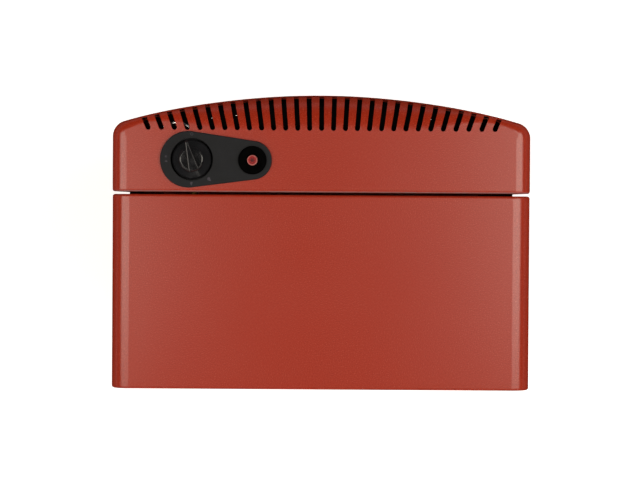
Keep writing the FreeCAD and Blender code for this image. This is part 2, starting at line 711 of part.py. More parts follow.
def teardrop(inset):
    """The control plate's outline: a wide round end, a narrow one and the tangents between."""
    outline = Outline()
    wide = S.plate_wide_radius - inset
    narrow = S.plate_narrow_radius - inset
    wide_x = S.knob_offset + S.plate_shift
    run = wide_x.value - S.igniter_offset.value
    shift = S.igniter_shift.value
    lean = math.degrees(math.atan2(-shift, run))
    half = math.degrees(math.acos((wide.value - narrow.value) / math.hypot(run, shift)))
    upper = lean + 180 - half
    lower = lean - 180 + half
    wide_centre = (wide_x.value, CONTROL_LINE.value)
    narrow_centre = (S.igniter_offset.value, IGNITER_LINE.value)

    def rim(centre, radius, angle):
        turn = math.radians(angle)
        return centre[0] + radius * math.cos(turn), centre[1] + radius * math.sin(turn)

    outline.arc(wide_centre, wide.value, lower, upper)
    outline.line(rim(wide_centre, wide.value, upper), rim(narrow_centre, narrow.value, upper))
    outline.arc(narrow_centre, narrow.value, upper, lower + 360)
    outline.line(rim(narrow_centre, narrow.value, lower), rim(wide_centre, wide.value, lower))
    for item in range(4):
        outline.hold("Tangent", item, 2, (item + 1) % 4, 1)
    outline.measure(wide, "Radius", 0)
    outline.measure(narrow, "Radius", 2)
    outline.locate(0, CENTRE, wide_x, CONTROL_LINE)
    outline.locate(2, CENTRE, S.igniter_offset, IGNITER_LINE)
    return outline


def folded_back(name, block, inset, rear, flats):
    """A block whose rear edges are folds, apart from those at heights where it stays flat."""
    DOC.recompute()
    fold = (S.fold_radius - inset).value
    edges = []
    for number, edge in enumerate(block.Shape.Edges, start=1):
        behind = all(near(end.y, rear) for end in ends(edge))
        if behind and not any(near(middle(edge).z, flat) for flat in flats):
            edges.append((number, fold, fold))
    folded = DOC.addObject("Part::Fillet", name)
    folded.Base = block
    folded.Edges = edges
    return folded


def folded_prism(name, inset, rear, low, high):
    """The cabinet's plan between two heights, with its rear corners folded."""
    block = bow_prism(f"{name}_block", inset, rear, low, high)
    return folded_back(name, block, as_size(inset), rear, (low, high))


def bow_cap(name, inset, rear, low, high):
    """The cabinet's plan as a block whose top edges are rounded.

    The sides have an even radius. Along the bow the radius grows to the middle, so that the
    shoulder starts to drop on one straight line across the cabinet.
    """
    block = bow_prism(f"{name}_block", inset, rear, low, high)
    DOC.recompute()
    radii = {
        "middle": S.shoulder_line,
        "station": S.shoulder_line - bow_drop(S.shoulder_station),
        "corner": S.shoulder_end,
        "side": S.edge_radius,
    }
    reach = HALF_WIDTH - inset

    def place(point):
        if near(abs(point.x), reach):
            return "side"
        if near(point.x, 0):
            return "middle"
        return "station" if near(abs(point.x), S.shoulder_station) else "corner"

    edges = []
    for number, edge in enumerate(block.Shape.Edges, start=1):
        first, last = ends(edge)
        on_top = near(first.z, high) and near(last.z, high)
        on_back = near(first.y, rear) and near(last.y, rear)
        if on_top and not on_back:
            start = (radii[place(first)] - inset).value
            finish = (radii[place(last)] - inset).value
            edges.append((number, start, finish))
    cap = DOC.addObject("Part::Fillet", f"{name}_shoulder")
    cap.Base = block
    cap.Edges = edges
    return folded_back(name, cap, inset, rear, (low,))


def slot_cutter():
    """The fan of hot air slots: round behind, and ending in a lip short of the bow."""
    line = FRONT + S.slot_setback
    reach = S.shoulder_line * 2
    low = TOP - S.slot_drop
    high = TOP + OVERSHOOT
    count = round(S.slots_each_side.value)
    slots = []
    for number in range(-count, count + 1):
        across = S.slot_fan * (S.slot_pitch * number).tangent()
        lean = S.slot_lean * number
        slot = prism(f"slot_{number + count}", obround(reach, S.slot_width), "XY_Plane", low, high)
        slots.append(put(slot, across, line, 0, Rotation(UP, lean.value - 90)))
    limit = bow_prism("slot_limit", S.slot_lip, SEAM_FRONT, low, high)
    return common("slots", group("slots", slots), limit)


def top_cover():
    """Pressed cover of the front cabinet with its hot air slots and the control plate's cut-out."""
    outer = bow_cap("cover_outer", as_size(0), SEAM_FRONT, COVER_BASE, TOP)
    inner = bow_cap("cover_inner", S.sheet, SEAM_FRONT - S.sheet, COVER_BASE - OVERSHOOT, TOP - S.sheet)
    opening = box("cover_opening", (S.flange - HALF_WIDTH, HALF_WIDTH - S.flange),
                  (SEAM_FRONT - S.sheet * 2, SEAM_FRONT + OVERSHOOT),
                  (COVER_BASE - OVERSHOOT, TOP - S.flange))
    plate_hole = prism("plate_hole", teardrop(S.plate_lip - S.seat_gap), "XY_Plane",
                       TOP - S.sheet * 2, TOP + OVERSHOOT)
    return piece(cut("cover", outer, inner, opening, slot_cutter(), plate_hole), "top_cover")


def screw_places():
    """Where the case screws stand on the right-hand side, as depth and height."""
    flange_middle = PARTITION + S.partition_flange / 2
    hood_first = SEAM_BACK + S.screw_hood_front
    low = BOTTOM + S.screw_low
    return (
        (flange_middle, S.screw_panel_low),
        (flange_middle, S.screw_panel_high),
        (FRONT + S.screw_front_setback, low),
        (hood_first, low),
        (hood_first + S.screw_hood_pitch, low),
    )


def screw_holes():
    """Bars through both sides of the case where the case screws pass."""
    radius = S.screw_radius + S.screw_gap
    reach = HALF_WIDTH + OVERSHOOT
    bars = [rod(f"screw_hole_{number}", radius, reach * 2, -reach, y, z, ALONG_X)
            for number, (y, z) in enumerate(screw_places())]
    return group("screw_holes", bars)


def case_screws():
    """Pan head screws that hold the sides to the partition and to the base tray."""
    head = S.screw_head_rise
    shank = S.screw_radius
    section = [(0, -S.screw_length), (shank, -S.screw_length), (shank, 0), (S.screw_head_radius, 0),
               (S.screw_head_radius, head / 2), (S.screw_head_radius - head / 2, head), (0, head)]
    screws = []
    for number, (y, z) in enumerate(screw_places()):
        for side, turn in ((1, ALONG_X), (-1, ALONG_X.inverted())):
            screw = turned(f"screw_{number}_{'right' if side > 0 else 'left'}", polygon(section))
            screws.append(put(screw, HALF_WIDTH * side, y, z, turn))
    return piece(group("case_screws", screws), "case_screws")


def front_shell(holes):
    """Wrap-round front of the cabinet with the radiant window and a tongue into the top cover."""
    skin = folded_prism("shell_skin", 0, SEAM_FRONT, BOTTOM, SHELL_TOP)
    lap_base = COVER_BASE - S.cover_lap
    lap_top = COVER_BASE + S.cover_lap
    tongue = folded_prism("shell_tongue", LINING, SEAM_FRONT - LINING, lap_base, lap_top)
    body = fuse("shell", skin, tongue)
    hollow = folded_prism("shell_hollow", S.sheet, SEAM_FRONT - S.sheet, BOTTOM - OVERSHOOT, lap_base)
    lap_hollow = bow_prism("shell_lap_hollow", LINING + S.sheet, SEAM_FRONT + OVERSHOOT,
                           lap_base - OVERSHOOT, lap_top + OVERSHOOT)
    opening = box("shell_opening", (S.flange - HALF_WIDTH, HALF_WIDTH - S.flange),
                  (SEAM_FRONT - S.sheet * 2, SEAM_FRONT + OVERSHOOT), (BOTTOM - OVERSHOOT, TOP))
    tray_notch = box("shell_tray_notch", (S.sheet - HALF_WIDTH, HALF_WIDTH - S.sheet),
                     (SEAM_FRONT - S.sheet * 2, SEAM_FRONT + OVERSHOOT),
                     (BOTTOM - OVERSHOOT, TRAY_TOP + S.seat_gap))
    window = prism("shell_window", rounded_box(S.window_width / 2, S.burner_height - S.window_height / 2,
                                               S.burner_height + S.window_height / 2, S.window_radius),
                   "XZ_Plane", FRONT - OVERSHOOT, PARTITION)
    return piece(cut("shell", body, hollow, lap_hollow, opening, tray_notch, window, holes),
                 "front_shell")


def base_tray(holes):
    """Floor of the cabinet: an upturned rim, a pressed platform for the cylinder, vents and stem holes."""
    rear = BACK - S.fold_radius - S.seat_gap
    block = bow_prism("tray_block", LINING, rear, BOTTOM, TRAY_TOP)
    hollow = bow_prism("tray_hollow", LINING + S.sheet, rear - S.sheet, BOTTOM + S.sheet,
                       TRAY_TOP + OVERSHOOT)
    pan = cut("tray_pan", block, hollow)
    half = S.platform_half
    depth = (PARTITION + S.platform_margin, BACK - S.panel_return - S.platform_margin)
    platform = box("tray_platform", (-half, half), depth, (BOTTOM, BOTTOM + S.platform_rise + S.sheet))
    press = box("tray_press", (S.sheet - half, half - S.sheet), (depth[0] + S.sheet, depth[1] - S.sheet),
                (BOTTOM - OVERSHOOT, BOTTOM + S.platform_rise))
    middle_y = (depth[0] + depth[1]) / 2
    rows = [(0, middle_y + S.floor_vent_pitch * step, 0) for step in (-1, 0, 1)]
    vents = obround_holes("tray_vents", rows, S.floor_vent_length, S.floor_vent_width, "XY_Plane",
                          BOTTOM - OVERSHOOT, BOTTOM + S.platform_rise + S.sheet + OVERSHOOT)
    stems = [rod(f"tray_stem_hole_{name}", S.stem_radius + S.seat_gap, S.sheet + OVERSHOOT * 2, x, y,
                 BOTTOM - OVERSHOOT) for name, x, y in castor_places()]
    tray = fuse("tray", pan, platform)
    return piece(cut("tray", tray, press, vents, group("tray_stem_holes", stems), holes), "base_tray")


def folded_arch(name, inset, low):
    """The hood's block: round bends along its top and small folds round its front and back."""
    half = HALF_WIDTH - inset
    high = TOP - inset
    front = SEAM_BACK + inset
    back = BACK - inset
    section = arched(half, low, high, S.hood_radius - inset)
    block = prism(f"{name}_block", section, "XZ_Plane", front, back)
    DOC.recompute()
    fold = (S.fold_radius - inset).value
    edges = []
    for number, edge in enumerate(block.Shape.Edges, start=1):
        first, last = ends(edge)
        on_face = any(near(first.y, limit) and near(last.y, limit) for limit in (front, back))
        if on_face and not near(middle(edge).z, low):
            edges.append((number, fold, fold))
    arch = DOC.addObject("Part::Fillet", name)
    arch.Base = block
    arch.Edges = edges
    return arch


def rear_hood(holes):
    """One bent sheet over the cylinder space: two sides and the top, with flanges all round."""
    outer = folded_arch("hood_outer", as_size(0), BOTTOM)
    inner = folded_arch("hood_inner", S.sheet, BOTTOM - OVERSHOOT)
    opening = box("hood_opening", (S.flange - HALF_WIDTH, HALF_WIDTH - S.flange),
                  (SEAM_BACK - OVERSHOOT, BACK + OVERSHOOT), (BOTTOM - OVERSHOOT, TOP - S.flange))
    tray_notch = box("hood_tray_notch", (S.sheet - HALF_WIDTH, HALF_WIDTH - S.sheet),
                     (SEAM_BACK - OVERSHOOT, SEAM_BACK + S.fold_radius),
                     (BOTTOM - OVERSHOOT, TRAY_TOP + S.seat_gap))
    return piece(cut("hood", outer, inner, opening, tray_notch, holes), "rear_hood")


def seam_strips():
    """Moulded strips between the flanges, which close the seam on both sides of the case."""
    near_side = HALF_WIDTH - S.flange
    far_side = HALF_WIDTH - S.seam_strip_inset
    rise = (TRAY_TOP + S.seat_gap, S.seam_strip_top)
    strips = [box(f"seam_strip_{name}", across, (SEAM_FRONT, SEAM_BACK), rise)
              for name, across in (("left", (-far_side, -near_side)), ("right", (near_side, far_side)))]
    return piece(group("seam_strips", strips), "seam_strips")


def rear_panel():
    """Lift-out back with folded edges, two fields of cooling slots and a finger hole."""
    half = HALF_WIDTH - S.flange - S.panel_gap
    low = TRAY_TOP + S.seat_gap
    high = TOP - S.flange - S.panel_gap
    front = BACK - S.panel_return
    tray = box("panel_block", (-half, half), (front, BACK), (low, high))
    hollow = box("panel_hollow", (S.sheet - half, half - S.sheet), (front - OVERSHOOT, BACK - S.sheet),
                 (low + S.sheet, high - S.sheet))
    rows = [start + S.vent_pitch * row for start in (S.vent_low, S.vent_high)
            for row in range(round(S.vent_rows.value))]
    centres = [(S.vent_spread * side, 0, row) for row in rows for side in (-1, 1)]
    depth = (BACK - S.sheet * 2, BACK + OVERSHOOT)
    vents = obround_holes("panel_vents", centres, S.vent_length, S.vent_width, "XZ_Plane", *depth)
    finger = obround_holes("panel_finger", [(0, 0, S.finger_height)], S.finger_length, S.finger_width,
                           "XZ_Plane", *depth)
    return piece(cut("panel", tray, hollow, vents, finger), "rear_panel")


def panel_clips():
    """Two bent strips under the hood's top whose tongues carry the rear panel's upper edge."""
    tongue_top = TOP - S.flange - S.panel_gap - S.sheet - S.seat_gap
    front = BACK - S.panel_return - S.seat_gap - S.sheet
    clips = []
    for side, name in ((-1, "left"), (1, "right")):
        middle_x = S.clip_spread * side
        across = (middle_x - S.clip_width / 2, middle_x + S.clip_width / 2)
        drop = box(f"clip_{name}_drop", across, (front, front + S.sheet),
                   (tongue_top - S.sheet, TOP - S.sheet))
        foot = box(f"clip_{name}_foot", across, (front - S.clip_reach, front),
                   (TOP - S.sheet * 2, TOP - S.sheet))
        tongue = box(f"clip_{name}_tongue", across, (front, front + S.sheet + S.seat_gap + S.clip_reach),
                     (tongue_top - S.sheet, tongue_top))
        clips.append(fuse(f"clip_{name}", drop, foot, tongue))
    return piece(group("panel_clips", clips), "panel_clips")


def partition(holes):
    """Heat shield between burner and cylinder with side flanges and a shelf under the burner."""
    half = HALF_WIDTH - LINING
    upper_half = half - LINING
    low = S.shelf_height - S.sheet
    waist = COVER_BASE - S.cover_lap - S.seat_gap
    thickness = (PARTITION, PARTITION + S.sheet)
    wall = box("partition_wall", (-half, half), thickness, (low, waist))
    upper = box("partition_upper", (-upper_half, upper_half), thickness,
                (waist, TOP - S.partition_top_gap))
    flanges = [box(f"partition_flange_{name}", across, (PARTITION, PARTITION + S.partition_flange),
                   (low, waist))
               for name, across in (("left", (-half, S.sheet - half)), ("right", (half - S.sheet, half)))]
    board = box("partition_board", (-half, half), (PARTITION - S.shelf_depth, PARTITION + S.sheet),
                (low, S.shelf_height))
    limit = bow_prism("partition_limit", S.sheet + S.shelf_gap, SEAM_FRONT, low, S.shelf_height)
    shelf = common("partition_shelf", board, limit)
    nozzle = rod("partition_nozzle_hole", S.nozzle_thread_radius + S.nozzle_hole_gap,
                 S.sheet + OVERSHOOT * 2,
                 S.knob_offset, PARTITION - OVERSHOOT, TAP_BASE + S.inlet_rise, ALONG_Y)
    sheet = fuse("partition", wall, upper, *flanges, shelf)
    return piece(cut("partition", sheet, nozzle, holes), "partition")


def guard():
    """Wire guard behind the window: upright wires welded to bowed ones that follow the front."""
    wire = S.guard_wire / 2
    bow = S.bow_radius - S.sheet - S.seat_gap - wire
    upright_bow = bow - S.guard_wire + S.guard_bite
    bow_y = FRONT + S.bow_radius
    reach = S.window_width / 2 + S.guard_lap
    low = S.burner_height - S.window_height / 2 - S.guard_lap
    high = S.burner_height + S.window_height / 2 + S.guard_lap
    half_angle = math.degrees(math.asin(reach.value / bow.value))
    first_bar = low + S.guard_lap + S.guard_bar_margin
    bars = round(S.guard_bars.value)
    step = (S.window_height - S.guard_bar_margin * 2) / (bars - 1)
    wires = []
    for number in range(bars):
        bar = DOC.addObject("Part::Torus", f"guard_bar_{number}")
        bind(bar, "Radius1", bow)
        bind(bar, "Radius2", wire)
        bar.Angle3 = 2 * half_angle
        put(bar, 0, bow_y, first_bar + step * number, Rotation(UP, 270 - half_angle))
        wires.append(bar)
    uprights = math.floor((S.window_width / 2 / S.guard_pitch).value)
    for number in range(-uprights, uprights + 1):
        x = S.guard_pitch * number
        y = bow_y - (upright_bow * upright_bow - x * x).root()
        wires.append(rod(f"guard_wire_{number + uprights}", wire, high - low, x, y, low))
    return piece(fuse("guard", *wires), "wire_guard")


def frustum(name, front, back, front_half, front_low, front_high, back_half, back_low, back_high):
    """A block that tapers from one rectangle at its front to another at its back."""
    block = DOC.addObject("Part::Wedge", name)
    limits = {
        "Xmin": -front_half, "Xmax": front_half, "Zmin": front_low, "Zmax": front_high,
        "X2min": -back_half, "X2max": back_half, "Z2min": back_low, "Z2max": back_high,
        "Ymin": front, "Ymax": back,
    }
    for prop, size in limits.items():
        bind(block, prop, size)
    return block


def burner_field():
    """Half width, bottom and top of the frame round the three burner boxes."""
    half = S.burner_pitch + S.burner_width / 2 + S.frame_border
    return half, BURNER_BASE - S.frame_border, BURNER_BASE + S.burner_rise + S.frame_border


def reflector():
    """Bright sheet funnel from the burner frame out to the window, notched for the pilot."""
    half, low, high = burner_field()
    rim_half = S.window_width / 2 - S.reflector_margin
    rim_low = S.burner_height - S.window_height / 2 + S.reflector_margin
    rim_high = S.burner_height + S.window_height / 2 - S.reflector_margin
    wall = S.reflector_sheet
    outer = frustum("reflector_outer", REFLECTOR_FRONT, FRAME_FRONT, rim_half, rim_low, rim_high,
                    half, low, high)
    inner = frustum("reflector_inner", REFLECTOR_FRONT, FRAME_FRONT, rim_half - wall, rim_low + wall,
                    rim_high - wall, half - wall, low + wall, high - wall)
    notch = box("reflector_notch",
                (S.pilot_offset - S.pilot_notch / 2, S.pilot_offset + S.pilot_notch / 2),
                (FRAME_FRONT - S.pilot_reach * 2, FRAME_FRONT + OVERSHOOT),
                (rim_low, low + wall + OVERSHOOT))
    return piece(cut("reflector", outer, inner, notch), "reflector")


def flue_deflector():
    """Dark sheet from the reflector's rim up to the top, with a baffle that keeps drips off the burner."""
    foot_y = REFLECTOR_FRONT
    foot_z = S.burner_height + S.window_height / 2 - S.reflector_margin
    top_y = FRONT + S.deflector_setback
    top_z = TOP - S.sheet
    section = polygon([(foot_y, foot_z), (foot_y + S.sheet, foot_z), (top_y + S.sheet, top_z),
                       (top_y, top_z)])
    across = (-S.deflector_half, S.deflector_half)
    sheet = prism("deflector_sheet", section, "YZ_Plane", *across)
    climb = (S.baffle_height - foot_z) / (top_z - foot_z)
    weld = foot_y + (top_y - foot_y) * climb + S.sheet / 2
    level = (S.baffle_height - S.sheet, S.baffle_height)
    board = box("baffle_board", across, (FRONT, weld), level)
    limit = bow_prism("baffle_limit", S.sheet + S.baffle_gap, SEAM_FRONT, *level)
    baffle = common("baffle", board, limit)
    return piece(fuse("deflector", sheet, baffle), "flue_deflector")


BURNERS = (("left", -1), ("centre", 0), ("right", 1))


def burner_box(name, side):
    """Sheet box behind one plaque, open in front, with its mixing throat below."""
    x = S.burner_pitch * side
    half = S.burner_width / 2
    top = BURNER_BASE + S.burner_rise
    back = BURNER_FRONT + S.burner_depth
    wall = S.burner_wall
    block = box(f"burner_{name}_block", (x - half, x + half), (BURNER_FRONT, back), (BURNER_BASE, top))
    throat = rod(f"burner_{name}_throat", S.throat_radius, S.throat_length + wall, x, BURNER_AXIS,
                 BURNER_BASE - S.throat_length)
    hollow = box(f"burner_{name}_hollow", (x - half + wall, x + half - wall),
                 (BURNER_FRONT - OVERSHOOT, back - wall),
                 (BURNER_BASE + wall, top - wall))
    bore = rod(f"burner_{name}_bore", S.throat_radius - S.throat_wall,
               S.throat_length + wall + OVERSHOOT * 2,
               x, BURNER_AXIS, BURNER_BASE - S.throat_length - OVERSHOOT)
    return piece(cut(f"burner_{name}", fuse(f"burner_{name}", block, throat), hollow, bore),
                 f"burner_box_{name}")


def plaque_limits(side, inset):
    """A burner's mouth, drawn in by an inset, as limits across and upwards."""
    x = S.burner_pitch * side
    half = S.burner_width / 2 - S.burner_wall - inset
    low = BURNER_BASE + S.burner_wall + inset
    high = BURNER_BASE + S.burner_rise - S.burner_wall - inset
    return (x - half, x + half), (low, high)


def plaque(name, side):
    """Perforated ceramic plaque that glows in a burner's mouth."""
    across, upwards = plaque_limits(side, S.gasket_wall + S.seat_gap)
    depth = (BURNER_FRONT, BURNER_FRONT + S.plaque_depth)
    return piece(box(f"plaque_{name}_block", across, depth, upwards), f"plaque_{name}")


def plaque_gaskets():
    """Fibre gaskets between the plaques and their boxes."""
    rings = []
    depth = (BURNER_FRONT, BURNER_FRONT + S.plaque_depth)
    for name, side in BURNERS:
        across, upwards = plaque_limits(side, S.seat_gap / 2)
        block = box(f"gasket_{name}_block", across, depth, upwards)
        across, upwards = plaque_limits(side, S.seat_gap / 2 + S.gasket_wall)
        hole = box(f"gasket_{name}_hole", across, (depth[0] - OVERSHOOT, depth[1] + OVERSHOOT), upwards)
        rings.append(cut(f"gasket_{name}", block, hole))
    return piece(group("plaque_gaskets", rings), "plaque_gaskets")


def burner_frame():
    """Front plate that holds the three plaques in their boxes."""
    half, low, high = burner_field()
    plate = box("frame_plate", (-half, half), (FRAME_FRONT, BURNER_FRONT), (low, high))
    holes = []
    for name, side in BURNERS:
        across, upwards = plaque_limits(side, S.frame_overlap)
        holes.append(box(f"frame_hole_{name}", across,
                         (FRAME_FRONT - OVERSHOOT, BURNER_FRONT + OVERSHOOT), upwards))
    return piece(cut("frame", plate, *holes), "burner_frame")


def burner_brackets():
    """Channels that carry the burner frame on the partition."""
    web = S.burner_pitch + S.burner_width / 2 + S.bracket_clear
    rise = (S.burner_height - S.bracket_rise / 2, S.burner_height + S.bracket_rise / 2)
    field_half = burner_field()[0]
    channels = []
    for name, side in (("left", -1), ("right", 1)):
        def across(near_x, far_x):
            return (near_x, far_x) if side > 0 else (-far_x, -near_x)
        plate = box(f"bracket_{name}_web", across(web, web + S.sheet), (BURNER_FRONT, PARTITION), rise)
        front = box(f"bracket_{name}_front", across(web, field_half),
                    (BURNER_FRONT, BURNER_FRONT + S.sheet), rise)
        foot = box(f"bracket_{name}_foot", across(web, web + S.bracket_foot),
                   (PARTITION - S.sheet, PARTITION), rise)
        channels.append(fuse(f"bracket_{name}", plate, front, foot))
    return piece(group("burner_brackets", channels), "burner_brackets")


def injector_bar():
    """Angle on the partition that holds the injectors under the throats."""
    plate = box("bar_plate", (-S.bar_half, S.bar_half), (BURNER_AXIS - S.bar_front, PARTITION),
                (BAR_BASE, BAR_TOP))
    lip = box("bar_lip", (-S.bar_half, S.bar_half), (PARTITION - S.bar_sheet, PARTITION),
              (BAR_BASE, BAR_BASE + S.bar_lip))
    holes = [rod(f"bar_hole_{name}", S.jet_radius + S.seat_gap, S.bar_sheet + OVERSHOOT * 2,
                 S.burner_pitch * side, BURNER_AXIS, BAR_BASE - OVERSHOOT) for name, side in BURNERS]
    return piece(cut("bar", fuse("bar", plate, lip), *holes), "injector_bar")


def injectors():
    """Brass injectors: a hexagon under the bar, a thread through it and a fine tip."""
    jets = []
    for name, side in BURNERS:
        x = S.burner_pitch * side
        flats = prism(f"jet_{name}_hex", hexagon(S.jet_hex), "XY_Plane", 0, S.jet_hex_rise)
        put(flats, x, BURNER_AXIS, JET_BASE)
        shoulder = S.jet_rise / 2
        tip = turned(f"jet_{name}_tip", polygon([
            (0, 0), (S.jet_radius, 0), (S.jet_radius, S.bar_sheet + shoulder),
            (S.jet_tip_radius, S.bar_sheet + S.jet_rise), (0, S.bar_sheet + S.jet_rise)]))
        put(tip, x, BURNER_AXIS, BAR_BASE)
        socket = rod(f"jet_{name}_socket", S.tube_radius + S.running_gap, S.tube_insert,
                     x, BURNER_AXIS, JET_BASE)
        jets.append(cut(f"jet_{name}", fuse(f"jet_{name}", flats, tip), socket))
    return piece(group("injectors", jets), "injectors")


def bent_path(points, radius):
    """Straight runs through points, joined by tangent arcs of one radius."""
    edges = []
    start = points[0]
    for before, corner, after in zip(points, points[1:], points[2:]):
        towards = (before - corner).normalize()
        away = (after - corner).normalize()
        half_turn = towards.getAngle(away) / 2
        setback = radius / math.tan(half_turn)
        bisector = (towards + away).normalize()
        middle_point = corner + bisector * (radius / math.sin(half_turn) - radius)
        first = corner + towards * setback
        last = corner + away * setback
        edges.append(Part.LineSegment(start, first).toShape())
        edges.append(Part.Arc(first, middle_point, last).toShape())
        start = last
    edges.append(Part.LineSegment(start, points[-1]).toShape())
    return Part.Wire(edges)


def bent_bar(path, radius):
    """A round bar swept along a path, its closed skin filled so that it faces outward."""
    start = path.Edges[0]
    first, last = ends(start)
    ring = Part.Wire([Part.Circle(first, last - first, radius).toShape()])
    skin = path.makePipeShell([ring], True, False).Shells[0]
    return Part.Solid(skin)


def point(x, y, z):
    """A point from three sizes."""
    return Vector(as_size(x).value, as_size(y).value, as_size(z).value)


def bent_piece(name, points, bend, radius, bore=None):
    """A bent bar or tube as one piece along corner points."""
    path = bent_path(points, bend.value)
    solid = bent_bar(path, radius.value)
    if bore is not None:
        solid = solid.cut(bent_bar(path, bore.value))
    item = DOC.addObject("Part::Feature", name)
    item.Shape = solid
    item.Placement = Placement()
    return piece(item, name)


def gas_tube(name, side):
    """Aluminium tube from a tap outlet, down beside the burner and along to its injector."""
    order = 1 - side
    x = S.burner_pitch * side
    outlet_x = S.knob_offset + S.outlet_pitch * (order - 1)
    low = JET_BASE - S.tube_drop - S.tube_pitch * order
    riser = S.riser_offset + S.tube_pitch * order
    outlet_base = TAP_BASE - S.outlet_rise
    high = outlet_base - S.tube_drop - S.tube_pitch * (2 - order)
    points = [
        point(x, BURNER_AXIS, JET_BASE + S.tube_insert),
        point(x, BURNER_AXIS, low),
        point(riser, BURNER_AXIS, low),
        point(riser, CONTROL_LINE, high),
        point(outlet_x, CONTROL_LINE, high),
        point(outlet_x, CONTROL_LINE, outlet_base + S.tube_insert),
    ]
    return bent_piece(f"gas_tube_{name}", points, S.tube_bend, S.tube_radius, S.tube_bore)


def tap_plug_section(gap):
    """Half section of the conical tap plug, grown by a gap, from its bottom up."""
    return polygon([(0, 0), (S.plug_bottom_radius + gap, 0), (S.plug_top_radius + gap, S.plug_rise),
                    (0, S.plug_rise)])


PLUG_BASE = TAP_TOP - S.plug_drop - S.plug_rise
TAIL_BASE = PLUG_BASE + S.plug_rise - S.spindle_tail_depth


def tap_body():
    """Brass gas tap: a block with a conical bore, a threaded neck and three outlets below."""
    half = S.tap_width / 2
    block = box("tap_block", (S.knob_offset - half, S.knob_offset + half),
                (CONTROL_LINE - S.tap_depth / 2, CONTROL_LINE + S.tap_depth / 2), (TAP_BASE, TAP_TOP))
    neck = rod("tap_neck", S.tap_neck_radius, S.tap_neck_rise + S.plug_drop, S.knob_offset, CONTROL_LINE,
               TAP_TOP - S.plug_drop)
    bosses = [rod(f"tap_boss_{step}", S.outlet_radius, S.outlet_rise,
                  S.knob_offset + S.outlet_pitch * (step - 1),
                  CONTROL_LINE, TAP_BASE - S.outlet_rise) for step in range(3)]
    seat = put(turned("tap_seat", tap_plug_section(S.running_gap)),
               S.knob_offset, CONTROL_LINE, PLUG_BASE)
    bore = rod("tap_bore", S.spindle_radius + S.running_gap, S.plug_drop + S.tap_neck_rise + OVERSHOOT,
               S.knob_offset, CONTROL_LINE, TAP_TOP - S.plug_drop)
    sockets = [rod(f"tap_socket_{step}", S.tube_radius + S.running_gap, S.tube_insert,
                   S.knob_offset + S.outlet_pitch * (step - 1), CONTROL_LINE, TAP_BASE - S.outlet_rise)
               for step in range(3)]
    inlet = rod("tap_inlet", S.nozzle_thread_radius, S.nozzle_thread, S.knob_offset,
                CONTROL_LINE + S.tap_depth / 2 - S.nozzle_thread, TAP_BASE + S.inlet_rise, ALONG_Y)
    return piece(cut("tap", fuse("tap", block, neck, *bosses), seat, bore, *sockets, inlet), "tap_body")


def tap_plug():
    """Conical plug that meters the gas, bored for the spindle's tail."""
    cone = put(turned("plug_cone", tap_plug_section(0)), S.knob_offset, CONTROL_LINE, PLUG_BASE)
    bore = rod("plug_bore", S.spindle_tail + S.running_gap, S.plug_rise - S.plug_floor + OVERSHOOT,
               S.knob_offset, CONTROL_LINE, PLUG_BASE + S.plug_floor)
    return piece(cut("plug", cone, bore), "tap_plug")


KNOB_BASE = WELL_FLOOR + S.knob_travel + S.knob_floor_gap
KNOB_TAPER = KNOB_BASE + S.knob_skirt_rise
KNOB_BOSS = KNOB_TAPER + S.knob_taper_rise
KNOB_BOSS_TOP = KNOB_BOSS + S.knob_boss_rise
KNOB_TOP = KNOB_BOSS_TOP + S.knob_grip_rise


def valve_spindle():
    """Stepped spindle that carries the knob and slides in the tap plug."""
    top = KNOB_BASE + S.knob_bore_depth
    step = TAP_TOP - S.plug_drop + S.knob_travel + S.seat_gap
    section = polygon([
        (0, 0), (S.spindle_tail, 0), (S.spindle_tail, step - TAIL_BASE),
        (S.spindle_radius, step - TAIL_BASE),
        (S.spindle_radius, top - TAIL_BASE), (0, top - TAIL_BASE)])
    return piece(put(turned("spindle", section), S.knob_offset, CONTROL_LINE, TAIL_BASE), "valve_spindle")


def tap_bracket():
    """Angle on the partition that holds the tap by its neck."""
    half = S.tap_bracket_width / 2
    across = (S.knob_offset - half, S.knob_offset + half)
    top = TAP_TOP + S.tap_bracket_sheet
    plate = box("tap_bracket_plate", across, (CONTROL_LINE - S.tap_bracket_front, PARTITION),
                (TAP_TOP, top))
    leg = box("tap_bracket_leg", across, (PARTITION - S.tap_bracket_sheet, PARTITION),
              (top - S.tap_bracket_leg, top))
    neck = rod("tap_bracket_neck", S.tap_neck_radius + S.seat_gap, S.tap_bracket_sheet + OVERSHOOT * 2,
               S.knob_offset, CONTROL_LINE, TAP_TOP - OVERSHOOT)
    nozzle = rod("tap_bracket_nozzle", S.nozzle_thread_radius + S.nozzle_hole_gap,
                 S.tap_bracket_sheet + OVERSHOOT * 2, S.knob_offset,
                 PARTITION - S.tap_bracket_sheet - OVERSHOOT, TAP_BASE + S.inlet_rise, ALONG_Y)
    return piece(cut("tap_bracket", fuse("tap_bracket", plate, leg), neck, nozzle), "tap_bracket")


def hex_nut(name, flats, rise, bore, x, y, z):
    """A plain hexagon nut round an upright thread."""
    block = put(prism(f"{name}_hex", hexagon(flats), "XY_Plane", 0, rise), x, y, z)
    hole = rod(f"{name}_hole", bore, rise + OVERSHOOT * 2, x, y, z - OVERSHOOT)
    return piece(cut(name, block, hole), name)


